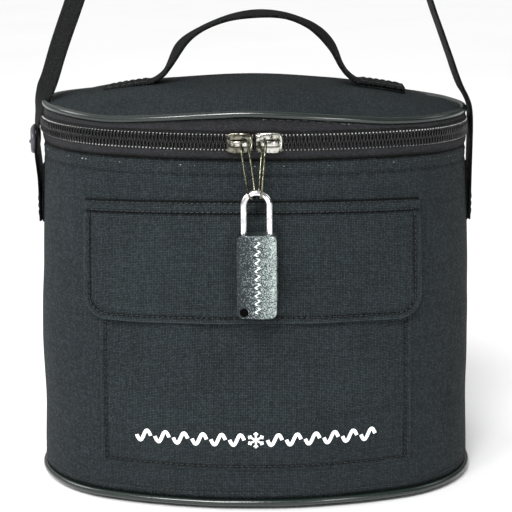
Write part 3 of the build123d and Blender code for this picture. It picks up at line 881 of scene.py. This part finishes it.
def lid_cloth():
    """The domed panel of the lid and the padding under it."""
    s = whole_oval(360)
    share = np.concatenate([[1.0, 0.993, 0.985, 0.975], np.linspace(0.96, 0.008, 53)])
    padded_from = 24
    grid_share, grid_s = np.meshgrid(share, s, indexing="ij")
    rim_x, rim_y, _, _ = oval_point(grid_s, -RIM_TUCK)
    x, y = rim_x * grid_share, rim_y * grid_share
    uneven = 0.5 + 0.5 * ripple(grid_s, 0 * grid_s, 0.08, 22)
    pucker = 0.25 * MM * np.sin(grid_s / (5.5 * MM)) * line_at(1 - grid_share, 0.07) * uneven
    cloth = grid_mesh("lid_cloth", x, y, dome_z(x, y) + pucker, x, y, closed=True)
    close_centre(cloth, len(s), len(share))
    x, y = x[padded_from:], y[padded_from:]
    padding = grid_mesh("lid_padding", x, y, dome_z(x, y) - 1.2 * MM, x, y, closed=True)
    solidify(close_centre(padding, len(s), len(x)), 2.0 * MM)
    add_piece(padding, "foam", "lid", ["lid_foam"])
    add_piece(cloth, "cloth", "lid", ["lid_panel"])


def lid_edge():
    """The twill band under the rim, the glossy piping on it and their stitches."""
    s = whole_oval(420)
    across = np.linspace(0, 1, 10)[:, None]
    low = BAND_Z + 0.4 * MM + zip_sag(s)[None, :]
    z = low + (rim_height(s)[None, :] - 1.2 * MM - low) * across
    swell = 0.5 * MM * np.sin(np.pi * across) ** 0.6 + 0.12 * MM * ripple(s[None, :], z, 0.025, 31)
    band = wall_band("rim_band", s[None, :], z, swell - RIM_TUCK * across**1.5, closed=True)
    # Painted shade: darker under the rim piping and along the band's lower edge.
    paint_light_and_shade(band, -0.45 * line_at(1 - across, 0.22) - 0.3 * line_at(across, 0.12) + 0 * s[None, :])
    add_piece(solidify(band, 0.8 * MM), "tape", "lid", ["lid_band"])
    run = np.linspace(4 * MM, 66 * MM, 60)
    run_z = rim_height(run) - 2.7 * MM + 0.25 * MM * ripple(run, 0 * run, 0.012, 33)
    line = wall_path(run, run_z, 0.9 * MM - RIM_TUCK)
    sizes = {"length": 3.0 * MM, "gap": 1.4 * MM, "radius": 0.24 * MM}
    sew("rim_seam_stitches", line, "lid", "twill_tape", "glinting", **sizes)
    cord_z = rim_height(s) + 0.08 * MM * ripple(s, 0 * s, 0.04, 32)
    cord = wall_cord("rim_piping", s, cord_z, 0.2 * MM - RIM_TUCK, PIPING_RADIUS, 14)
    add_piece(cord, "vinyl", "lid", ["lid_piping"])
    ring = np.append(s, s[0])
    x, y, nx, ny = oval_point(ring, -4.6 * MM)
    path = np.stack([x, y, dome_z(x, y) + 0.25 * MM], -1)
    up = np.stack([0.5 * nx, 0.5 * ny, 0 * nx + 0.85], -1)
    sew("rim_stitches", (path, up), "lid", "shell_fabric")


def lid_inside():
    """The film on the underside of the lid, with its binding."""
    s = whole_oval(240)
    inset = np.array([-1.3, -5, -7.4, -8.2, -9.5, -14, -24, -36, -48, -58]) * MM
    height = np.array([225.2, 225.4, 225.8, 226.4, 227.2, 228.6, 230.6, 232.6, 234.2, 235.0])[:, None] * MM

    def film_height(x, y, grid_in):
        return height + 0.5 * MM * ripple(x, y, 0.05, 41) * (grid_in < -8.5 * MM)

    film = oval_rings("lid_film", s, inset, film_height)
    add_piece(film, "foil", "lid", ["lid_liner"])
    edge = wall_cord("lid_binding", s, 225.6 * MM, -7.6 * MM, 1.3 * MM, 10)
    add_piece(edge, "tape", "lid")


def hinge_cloth():
    """The cloth hinge at the back, from the wall up to the lid's band."""
    half = PERIMETER / 2 - ZIP_END + 2 * MM
    s = PERIMETER / 2 + np.linspace(-half, half, 90)
    z = np.linspace(SEAM_Z - 4.5 * MM, BAND_Z + 2 * MM, 26)[:, None]
    out = 0.7 * MM + 0.5 * MM * line_at(z - ZIP_Z, 4 * MM) + 0.15 * MM * ripple(s[None, :], z, 0.02, 51)
    strip = solidify(wall_band("hinge_cloth", s[None, :], z, out), 0.8 * MM)
    add_piece(strip, "tape", None, ["hinge_strip"])
    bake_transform(strip)
    2 * half
    for name, height, body in (("low", SEAM_Z - 3 * MM, "bag"), ("high", BAND_Z + MM, "lid")):
        sew(f"hinge_stitches_{name}", wall_path(s, height, 1.0 * MM), body, "twill_tape")


def zipper_tabs():
    """A folded tab of cloth over each end of the zipper."""
    for name, side in (("left", -1), ("right", 1)):
        s = side * (ZIP_END + MM) + np.linspace(-4.5, 4.5, 12)[None, :] * MM
        z = np.linspace(SEAM_Z - 2 * MM, ZIP_Z - 0.3 * MM, 10)[:, None]
        puff = 1.7 * MM - 0.6 * MM * ((z - z.mean()) / (z[-1] - z.mean())) ** 4
        tab = solidify(wall_band(f"zipper_tab_{name}", s, z + zip_sag(s), puff + 0 * s), 0.8 * MM)
        add_piece(tab, "webbing", "bag", ["zipper_end_tabs"])


# --- handle and strap ---
HANDLE_LEFT = [(-54.6, 246.6), (-50.9, 252.0), (-48.3, 256.8), (-45.4, 261.6), (-41.4, 266.2), (-35.4, 270.8),
               (-25.5, 276.0), (-12.0, 280.4)]
HANDLE_RIGHT = [(4.0, 282.2), (19.0, 280.8), (32.0, 275.9), (39.4, 270.8), (43.9, 266.2), (47.3, 261.6),
                (49.7, 256.8), (51.9, 252.0), (55.6, 246.6)]
STRAP_LEFT = [
    (-130.2, 158.6), (-130.3, 172.0), (-130.5, 184.0), (-131.2, 192.0), (-131.9, 200.0), (-131.9, 215.0),
    (-130.4, 223.0), (-129.4, 229.0), (-127.0, 235.5), (-124.4, 241.5), (-122.1, 247.8), (-119.1, 257.4),
    (-115.8, 267.0), (-112.3, 276.5), (-108.7, 286.0), (-99.5, 312.0), (-89.5, 345.0), (-77.5, 390.0),
    (-65.0, 440.0), (-47.0, 471.0), (-24.0, 487.5),
]
STRAP_RIGHT = [
    (24.0, 487.5), (47.0, 471.0), (65.0, 440.0), (77.0, 390.0), (88.0, 345.0), (97.8, 312.0), (106.6, 285.0),
    (110.2, 275.4), (113.7, 265.9), (117.3, 256.2), (120.7, 246.6), (124.0, 238.5), (127.4, 232.5),
    (129.6, 227.0), (130.4, 219.0), (130.5, 205.0), (130.4, 190.0), (130.3, 172.0), (130.2, 158.6),
]


def box_stitch(near, far, half):
    """The lines of a sewn box with a cross in it."""
    corners = np.array([(near, -half), (far, -half), (far, half), (near, half)])
    steps = np.linspace(0, 1, 14)[:, None]
    seams = ((0, 1), (1, 2), (2, 3), (3, 0), (0, 2), (1, 3))
    return [corners[a] + (corners[b] - corners[a]) * steps for a, b in seams]


def carry_handle():
    """The webbing handle, one length: a sewn foot, the bend, the loop and the other foot."""
    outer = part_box("handle_feet")[1].x - 1.2 * MM
    inner = HANDLE_ROOT + 4 * MM
    lies = [(x, 0, lid_height(x)[0] + 2.4 * MM) for x in np.linspace(outer, inner, 8)]
    loop = [(x * MM, 0, z * MM) for x, z in HANDLE_LEFT + HANDLE_RIGHT]
    path = smooth_path([(-x, y, z) for x, y, z in lies] + loop + lies[::-1], 200)
    share = np.linspace(-1, 1, len(path))
    twist = 0.17 * line_at(share + 0.5, 0.12) + 0.07 * line_at(share, 0.16)
    twist = twist + 0.15 * line_at(share - 0.45, 0.17)
    strap = ribbon("handle_webbing", path, turned_across(path, twist), WEBBING_WIDTH, HANDLE_WEBBING)
    add_piece(strap, "webbing", None, ["carry_handle"])
    base = lid_height(HANDLE_ROOT)[0]
    base + 4 * MM
    base + 16 * MM
    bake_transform(strap)
    for name, sign in (("left", -1), ("right", 1)):
        x = sign * np.linspace(inner, outer, 26)
        line = np.stack([x, 0 * x, lid_height(x) + 0.6 * MM], -1)
        patch = ribbon(f"handle_patch_{name}", line, [(0, 1, 0)] * 26, WEBBING_WIDTH * 0.98, 1.3 * MM)
        add_piece(patch, "webbing", "lid", ["handle_feet"])
        for number, seam in enumerate(box_stitch(inner + 3 * MM, outer - 2 * MM, 9.5 * MM)):
            height = lid_height(seam[:, 0]) + 2.4 * MM + HANDLE_WEBBING / 2
            path = np.column_stack([sign * seam[:, 0], seam[:, 1], height])
            up = np.tile([0, 0, 1.0], (len(path), 1))
            sew(f"handle_stitch_{name}_{number}", (path, up), "lid", "webbing")


def shoulder_strap():
    """The strap loop, up both sides and over in one round arch, and its sewn ends."""
    corners = STRAP_LEFT + [(0, STRAP_TOP_Z / MM - 1.2)] + STRAP_RIGHT
    path = smooth_path([(x * MM, 0, z * MM) for x, z in corners], 420)
    steps = np.array([0.2, 0.226, 0.237, 0.33, 0.43, 0.5])
    left_turn = np.interp(path[:, 2], steps, [0.0, 0.3, 0.5, 0.54, 0.0, 0.0])
    right_turn = np.interp(path[:, 2], steps, [0.0, 0.0, -0.06, -0.04, 0.0, 0.0])
    turn = np.where(path[:, 0] < 0, left_turn, right_turn)
    strap = ribbon("strap_webbing", path, turned_across(path, turn), WEBBING_WIDTH, WEBBING)
    add_piece(strap, "webbing", "strap", ["shoulder_strap"])
    for name, sign in (("left", -1), ("right", 1)):
        z = np.linspace(158.5, 192.5, 24)[:, None] * MM
        s = PERIMETER / 4 * sign + np.linspace(-12.5, 12.5, 15)[None, :] * MM
        out = flare(z) + 1.0 * MM + 0.1 * MM * ripple(s, z, 0.02, 61)
        anchor = solidify(wall_band(f"strap_anchor_{name}_webbing", s, z, out), 0.9 * MM)
        add_piece(anchor, "webbing", "bag", [f"strap_anchor_{name}"])
        for number, seam in enumerate(box_stitch(161.5 * MM, 174.5 * MM, 9.5 * MM)):
            x = sign * (SEWN_STRAP_X + WEBBING / 2) + 0 * seam[:, 0]
            path = np.column_stack([x, seam[:, 1], seam[:, 0]])
            outwards = np.tile([sign, 0, 0.0], (len(path), 1))
            sew(f"strap_stitch_{name}_{number}", (path, outwards), "strap", "webbing")


def adjuster():
    """The oval plastic slide on the left of the strap: a rounded frame with a middle bar."""
    low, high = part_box("strap_adjuster")
    middle = (low + high) / 2
    half_w, half_h = 15.2 * MM, 8.4 * MM
    turn = full_turn(64)
    y = half_w * flattened(np.cos(turn), 0.62)
    z = half_h * flattened(np.sin(turn), 0.75) * 0.82
    x = -STRAP_X - 1.9 * MM + 0.9 * MM * (y / half_w) ** 2
    path = np.stack([x, middle.y + y * (1 - 1.6 * MM / half_w), middle.z + z], -1)
    rim = tube("adjuster_frame", path, 1.55 * MM, 10, closed=True, around=(1, 0, 0))
    add_piece(rim, "grey_plastic", "adjuster", ["strap_adjuster"])
    span = np.linspace(-half_w * 0.8, half_w * 0.8, 20)
    path = np.stack([-STRAP_X - 2.1 * MM + 0 * span, middle.y + span, middle.z + 0 * span], -1)
    bar = tube("adjuster_bar", path, 1.5 * MM, 10, around=(1, 0, 0))
    add_piece(bar, "grey_plastic", "adjuster")


# --- pocket ---
def pocket_out(x):
    """How far the empty pocket stands off the wall at x: least at its sides."""
    return 2.4 * MM * (1 - np.clip(np.abs(x) / POCKET_HALF, 0, 1) ** 2.2) + 0.9 * MM


def pocket_edge(x, z):
    """Distance inwards from the pocket's sewn sides and foot."""
    return np.minimum(POCKET_HALF - np.abs(x), z - POCKET_LOW_Z)


def pocket_surface(x, z):
    """How far the pocket's face stands off the bag's plain oval."""
    up = z - POCKET_LOW_Z
    corner = np.clip(1 - up / (6 * MM), 0, 1)
    ease = np.clip(up / (30 * MM), 0, 1) ** 0.6
    sag = 0.6 * MM * ripple(x, z, 0.07, 71) * np.clip(up / (50 * MM), 0, 1)
    fold = 0.5 * MM * line_at(POCKET_HALF - np.abs(x), 2.2 * MM)
    out = 0.9 * MM + (pocket_out(x) - 0.9 * MM) * ease + sag * (1 - (x / POCKET_HALF) ** 4)
    groove = 0.55 * MM * line_at(pocket_edge(x, z) - POCKET_STITCH, 0.8 * MM)
    return flare(z) + out + fold - 0.8 * MM * corner**2 - groove


def flap_point(x, z, out):
    """A point of the flap, which is sewn on a little to the left and lower at its ends."""
    return front_point(x + FLAP_SHIFT, z - FLAP_DROOP * (x / FLAP_HALF) ** 2, out)


def front_stitches(name, x, z, out, place, body="bag"):
    """A row of stitches over the front of the bag."""
    px, py, pz, _ = place(x, z, out)
    path, normals = np.stack([px, py, pz], -1), np.stack([px * 0.3, py, 0 * px], -1)
    return sew(name, (path, normals), body, "shell_fabric", gap=0.6 * MM)


def pocket():
    """The patch pocket: its panel and its rows of stitches."""
    low, top = POCKET_LOW_Z, POCKET_TOP_Z
    x = spread(-POCKET_HALF, POCKET_HALF, 120, 6 * MM, 0.5 * MM)[None, :]
    z = spread(low, top, 80, 6 * MM, 0.5 * MM)[:, None]
    panel = front_sheet("pocket_cloth", x, z, pocket_surface(x, z))
    edge = pocket_edge(x, z)
    # Painted highlight along the pocket's sewn edges and painted shade along its stitch line.
    paint_light_and_shade(panel, 0.12 * line_at(edge, 1.0 * MM) - 0.28 * line_at(edge - POCKET_STITCH, 0.8 * MM))
    solidify(panel, 0.8 * MM, bevel=0.25 * MM)
    add_piece(panel, "cloth", "bag", ["pocket_panel", "pocket_hem"])
    half = POCKET_HALF - POCKET_STITCH
    side_z = np.linspace(low + POCKET_STITCH, top - 4 * MM, 60)
    foot_x = np.linspace(-half, half, 90)
    for name, line_x, line_z in (
        ("left", 0 * side_z - half, side_z),
        ("right", 0 * side_z + half, side_z),
        ("foot", foot_x, 0 * foot_x + low + POCKET_STITCH),
    ):
        out = pocket_surface(line_x, line_z)
        front_stitches(f"pocket_stitches_{name}", line_x, line_z, out, front_point)


def flap_outline(half, low, top, corner):
    """Half widths of the flap at each height: straight sides and round lower corners."""
    curve = np.linspace(0, math.pi / 2, 26)
    z = np.concatenate([low + corner * (1 - np.cos(curve)), np.linspace(low + corner, top, 90)[1:]])
    width = np.concatenate([half - corner * (1 - np.sin(curve)), np.full(89, half)])
    return z, width


def flap_edge(x, z):
    """Distance inwards from the flap's sides, foot and round corners."""
    past_x = np.abs(x) - (FLAP_HALF - FLAP_CORNER)
    past_z = FLAP_LOW_Z + FLAP_CORNER - z
    turned = np.hypot(np.maximum(past_x, 0), np.maximum(past_z, 0))
    return FLAP_CORNER - turned - np.minimum(np.maximum(past_x, past_z), 0)


def flap_out(x, z):
    """How far the flap stands off the wall: sewn flat at its top, then easing out over the pocket."""
    drop = np.clip((FLAP_TOP_Z - z) / (14 * MM), 0, 1)
    ease = drop * drop * (3 - 2 * drop)
    up = z - FLAP_LOW_Z
    curl = 0.8 * MM * np.clip(1 - up / (20 * MM), 0, 1) ** 2 * (1 - line_at(x, 30 * MM))
    dent = 0.8 * MM * line_at(x - LOCK_X, 17 * MM) * np.clip(1 - up / (10 * MM), 0, 1)
    roll = 0.9 * MM * np.exp(-(((FLAP_TOP_Z - 3.7 * MM - z) / (2.9 * MM)) ** 4))
    return flare(z) + 0.9 * MM + (pocket_out(x) + 1.5 * MM - dent) * ease + curl + roll


def pocket_flap():
    """The flap, one piece from its sewn top over the fold to its round corners, with a stitched hem."""
    z, width = flap_outline(FLAP_HALF, FLAP_LOW_Z, FLAP_TOP_Z, FLAP_CORNER)
    x = width[:, None] * spread(-1, 1, 110, 0.06, 0.005)[None, :]
    z = z[:, None] + 0 * x
    edge = flap_edge(x, z)
    down = FLAP_TOP_Z - z
    hem = 0.5 * MM * (1 - np.clip((edge - HEM) / (0.8 * MM), 0, 1))
    soft = 0.35 * MM * ripple(x, z, 0.06, 81) * np.clip(down / (30 * MM), 0, 1)
    fold_line = line_at(down - 7.2 * MM, 0.8 * MM)
    hem_line = line_at(edge - HEM, 0.8 * MM) * (down > 6 * MM)
    out = flap_out(x, z) + hem + soft - 0.5 * MM * np.maximum(fold_line, hem_line)
    flap = front_sheet("flap_cloth", x, z, out, flap_point)
    # Painted shade along the fold line, the hem's stitch line and in a strong line at the flap's top; painted
    # highlight along its edges.
    dark = np.maximum(0.36 * fold_line, 0.3 * hem_line) + 1.2 * line_at(down, 0.9 * MM)
    paint_light_and_shade(flap, 0.16 * line_at(edge, 1.0 * MM) * (down > 1.5 * MM) - dark)
    solidify(flap, 1.0 * MM, bevel=0.3 * MM)
    add_piece(flap, "cloth", None, ["pocket_flap", "flap_hem", "flap_seam"])
    bend_in_flap(flap)
    flap_stitches()


def bend_in_flap(obj):
    """Bakes a piece's placement into its mesh."""
    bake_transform(obj)


def flap_stitches():
    """The hem's stitch line round the flap and the two rows that hold its top."""
    half, low = FLAP_HALF - HEM, FLAP_LOW_Z + HEM
    z, width = flap_outline(half, low, FLAP_TOP_Z - 8 * MM, FLAP_CORNER - HEM)
    bottom = np.linspace(-width[0], width[0], 60)[1:-1]
    around_x = np.concatenate([-width[::-1], bottom, width])
    around_z = np.concatenate([z[::-1], np.full(58, z[0]), z])
    top_x = np.linspace(-half, half, 90)
    for name, x, z, body in (
        ("hem", around_x, around_z, None),
        ("top_edge", top_x, FLAP_TOP_Z - 1.4 * MM + 0 * top_x, "bag"),
        ("top_second", top_x, FLAP_TOP_Z - 6.2 * MM + 0 * top_x, "bag"),
    ):
        row = front_stitches(f"flap_stitches_{name}", x, z, flap_out(x, z) + 0.5 * MM, flap_point, body)
        if body is None:
            bend_in_flap(row)


def hook_patches():
    """The loop patch on the pocket and the hook patch inside the flap."""
    for name, node, body in (
        ("loop_patch", "pocket_loop_patch", "bag"),
        ("hook_patch", "flap_hook_patch", "flap"),
    ):
        low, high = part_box(node)
        x = np.linspace(low.x, high.x, 30)[None, :]
        z = np.linspace(low.z, high.z, 10)[:, None]
        out = pocket_surface(x, z) + 0.35 * MM if body == "bag" else flap_out(x, z) - 0.9 * MM
        patch = solidify(front_sheet(name, x, z, out), 0.4 * MM, bevel=0.1 * MM)
        add_piece(patch, "hook", body, [node])


# --- sliders, pulls and padlock ---
def slider_plate(name, middle, tail):
    """A slider's domed top plate: a broad round nose, a narrower squarer tail, and a shallow valley."""
    a, b = np.meshgrid(np.linspace(-1, 1, 41), np.linspace(-1, 1, 33))
    half = SLIDER_HALF_HEIGHT * (1 - 0.10 * np.clip(a * tail, 0, 1) ** 2)
    power = 3.0 + 3.0 * np.clip(a * tail * 3, 0, 1)
    shape = np.abs(a) ** power + np.abs(b) ** power
    squeeze = 1 / np.maximum(1.0, shape ** (1 / power))
    across = b * half * squeeze
    length = a * SLIDER_HALF_LENGTH * squeeze
    dome = 1.6 * MM * (1 - np.clip(shape, 0, 1) ** 3) ** 0.5
    valley = 0.5 * MM * line_at(b, 0.25) * (1 - np.abs(a) ** 4)
    x, y, _, _ = oval_point(middle + length, 2.1 * MM + dome - valley)
    return solidify(grid_mesh(name, x, y, ZIP_Z + across, length, across), 1.1 * MM)


def slider_bridge(name, middle, tail):
    """The arched bridge over a slider, which holds its pull."""
    length = np.array([-5.0, -4.4, -3.2, -1.0, 1.4, 3.4, 4.7, 5.2]) * MM
    out = np.array([2.9, 4.6, 5.6, 5.9, 5.9, 5.5, 4.4, 2.9]) * MM
    line = smooth_path(np.stack([length * tail, out, 0 * out], -1), 40)
    path, _ = wall_path(middle + line[:, 0], ZIP_Z, line[:, 1])
    return ribbon(name, path, np.tile([0.0, 0.0, 1.0], (40, 1)), 3.0 * MM, 1.3 * MM, 9)


def wire_pull(name, top, foot, half, tilt):
    """A long wire loop round a slider's bridge and the shackle's crown."""
    top, foot = np.array(top), np.array(foot)
    length = np.linalg.norm(foot - top)
    axis = (foot - top) / length
    flat = unit(np.cross(axis, (1.0, 0.0, 0.0)))
    sideways = math.cos(tilt) * flat + math.sin(tilt) * np.cross(axis, flat)
    turn = full_turn(96)
    up = flattened(np.cos(turn), 0.35)
    wide = half * flattened(np.sin(turn), 0.6) * (1 - 0.1 * np.clip(-up, 0, 1))
    path = (top + foot) / 2 - axis * (length / 2) * up[:, None] + sideways * wide[:, None]
    return tube(name, path, PULL_WIRE, 10, closed=True)


def sliders_and_pulls():
    """The two sliders nose to nose, and the wire pulls that meet on the shackle."""
    # The left slider's plate takes the darker nickel copy, a painted shade.
    for name, side, metal, top_x, foot_x, tilt in (
        ("left", -1, "shaded_nickel", -6.0 * MM, LOCK_X - 2.2 * MM, 0.75),
        ("right", 1, "nickel", 5.6 * MM, LOCK_X + 1.9 * MM, -0.3),
    ):
        plate = slider_plate(f"{name}_slider_plate", side * SLIDER_X, side)
        add_piece(plate, metal, f"{name}_slider", [f"slider_{name}"])
        bridge = slider_bridge(f"{name}_slider_bridge", side * SLIDER_X, side)
        add_piece(bridge, "nickel", f"{name}_slider")
        top = (top_x, -HALF_DEPTH - 6.3 * MM, ZIP_Z + 1.5 * MM)
        foot_end = (foot_x, LOCK_Y, SHACKLE_TOP - 5.0 * MM)
        pull = wire_pull(f"{name}_wire_pull", top, foot_end, 3.2 * MM, tilt)
        add_piece(pull, "wire", f"{name}_pull", [f"pull_{name}"])


def finish_cad():
    """Gives the CAD nodes that stay visible their materials."""
    for key, nodes in {
        "chrome": ["shackle", "dial_spindle", "lock_latch"],
        "lock": ["lock_front_shell", "lock_back_shell"],
        "black_plastic": ["reset_button"],
        "grey_plastic": ["dial_1", "dial_2", "dial_3"],
        "foam": ["foam_wall", "bottom_foam"],
    }.items():
        for node in nodes:
            paint(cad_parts[node], key)


# --- plain ornaments in place of the prints ---
def lock_ornament():
    """A plain column of wave strokes, printed in white along the padlock's face."""
    parts = []
    for number in range(9):
        z = LOCK_LOW.z + (5.2 + 4.7 * number) * MM + np.linspace(-1.75, 1.75, 16) * MM
        x = LOCK_X + 0.4 * MM + 1.1 * MM * np.sin(np.linspace(-math.pi, math.pi, 16))
        edges = []
        for edge in (-1, 1):
            ex = x + edge * 0.55 * MM
            y = LOCK_LOW.y + (ex - LOCK_X) ** 2 / (2 * LOCK_FACE_RADIUS) - 0.09 * MM
            edges.append(np.stack([ex, y, z], -1))
        parts.append((np.vstack(edges), grid_faces(2, len(x), flip=True)))
    add_piece(join_meshes("lock_ornament", parts), "print", "lock_case")


def strip(x, z, half):
    """Points and faces of a thin printed strip along a line on the pocket."""
    dx, dz = np.gradient(x), np.gradient(z)
    size = np.hypot(dx, dz)
    points = []
    for edge in (-half, half):
        ex, ez = x - edge * dz / size, z + edge * dx / size
        points.append(np.stack(front_point(ex, ez, pocket_surface(ex, ez) + 0.16 * MM)[:3], -1))
    return np.vstack(points), grid_faces(2, len(x))


def ray(x, z, angle, near, far, count):
    """Points of a straight line from a centre, at some angle and from near to far away from it."""
    reach = np.linspace(near, far, count) * MM
    return x + reach * math.cos(angle), z + reach * math.sin(angle)


def pocket_ornament():
    """A row of plain wave strokes and a six-armed frost star, printed in white low on the pocket."""
    parts = []
    for number in (*range(-6, 0), *range(1, 7)):
        x = number * 10.6 * MM + np.linspace(-4.1, 4.1, 22) * MM
        z = PRINT_Z + 3.2 * MM * np.sin(np.linspace(-math.pi, math.pi, 22))
        parts.append(strip(x, z, 1.0 * MM))
    for arm in range(6):
        angle = math.pi / 6 + arm * math.pi / 3
        parts.append(strip(*ray(0, PRINT_Z, angle, 0.2, 4.9, 12), 0.55 * MM))
        (fork_x,), (fork_z,) = ray(0, PRINT_Z, angle, 2.9, 2.9, 1)
        for turn in (-1, 1):
            branch = ray(fork_x, fork_z, angle + turn * math.pi / 4, 0, 1.7, 6)
            parts.append(strip(*branch, 0.4 * MM))
    add_piece(join_meshes("pocket_ornament", parts), "print", "bag")


# --- stage ---
CAMERA_AT = (0.0013, -1.052, 0.371)
CAMERA_DOWN = 0.222
CAMERA_TURN = 0.00074
CAMERA_ROLL = -0.0048
SENSOR_WIDTH = 36.0
FOCAL_LENGTH = 3.416015625 * SENSOR_WIDTH
FLOOR_HALF = 40
LIGHT_TARGET = Vector((0, 0, 0.14))


def light(name, kind, at, direction, power, **settings):
    """A light that shines along a direction."""
    data = bpy.data.lights.new(name, kind)
    data.energy = power
    for key, value in settings.items():
        setattr(data, key, value)
    holder = bpy.data.objects.new(name, data)
    holder.location = at
    holder.rotation_euler = Vector(direction).to_track_quat("-Z", "Y").to_euler()
    bpy.context.scene.collection.objects.link(holder)


def studio_world():
    """A white sky that darkens downwards and to the right."""
    nodes = Nodes(bpy.data.worlds.new("studio"))
    x, _, z = nodes.add("ShaderNodeTexCoord", "Generated").parts()
    upwards = nodes.ramp(z, (0.0, (0.16, 0.16, 0.165)), (0.5, (1.0, 1.0, 1.0)))
    side = nodes.add("ShaderNodeMapRange", Value=x, From_Min=-1.0, To_Min=1.5, To_Max=0.15)
    sky = nodes.add("ShaderNodeVectorMath", 0, [("operation", "SCALE")], Vector=upwards, Scale=side)
    nodes.feed(nodes.tree.nodes["Background"], {"Color": sky, "Strength": 0.72})
    bpy.context.scene.world = nodes.owner


def stage():
    """Plain pale floor, soft studio light and the camera."""
    square = [(0, 0), (1, 0), (1, 1), (0, 1)]
    corners = [((2 * u - 1) * FLOOR_HALF, (2 * v - 1) * FLOOR_HALF, 0) for u, v in square]
    floor = make_mesh("floor", corners, [(0, 1, 2, 3)], square)
    paint(floor, "floor")
    studio_world()
    light("sun", "SUN", (0, 0, 0), (0.22, 1.0, -1.0), 2.6, angle=math.radians(20))
    for name, at, size, power in (
        ("key", (-0.9, -1.5, 1.1), 0.4, 14),
        ("fill", (0.75, -1.35, 0.45), 0.3, 2),
        ("glint", (0.6, -1.25, 0.22), 0.2, 2.5),
        ("left_edge", (-1.2, 0.1, 0.9), 0.6, 6),
        ("right_edge", (1.2, 0.1, 0.9), 0.6, 2),
    ):
        light(name, "AREA", at, LIGHT_TARGET - Vector(at), power, shape="SQUARE", size=size)
    bpy.context.scene.view_settings.view_transform = "Standard"
    camera = bpy.data.cameras.new("camera")
    camera.sensor_width = SENSOR_WIDTH
    camera.lens = FOCAL_LENGTH
    camera.clip_start = 50 * MM
    holder = bpy.data.objects.new("camera", camera)
    holder.location = CAMERA_AT
    holder.rotation_euler = (math.pi / 2 - CAMERA_DOWN, 0, CAMERA_TURN)
    holder.rotation_euler.rotate_axis("Z", CAMERA_ROLL)
    bpy.context.scene.collection.objects.link(holder)
    bpy.context.scene.camera = holder


for build in (
    body_wall, foot, tape_and_stitches, zipper_coils, inside, lid_cloth, lid_edge, lid_inside,
    hinge_cloth, zipper_tabs, sliders_and_pulls, carry_handle, shoulder_strap, adjuster, pocket,
    pocket_flap, hook_patches, pocket_ornament, lock_ornament, finish_cad, stage,
):
    build()
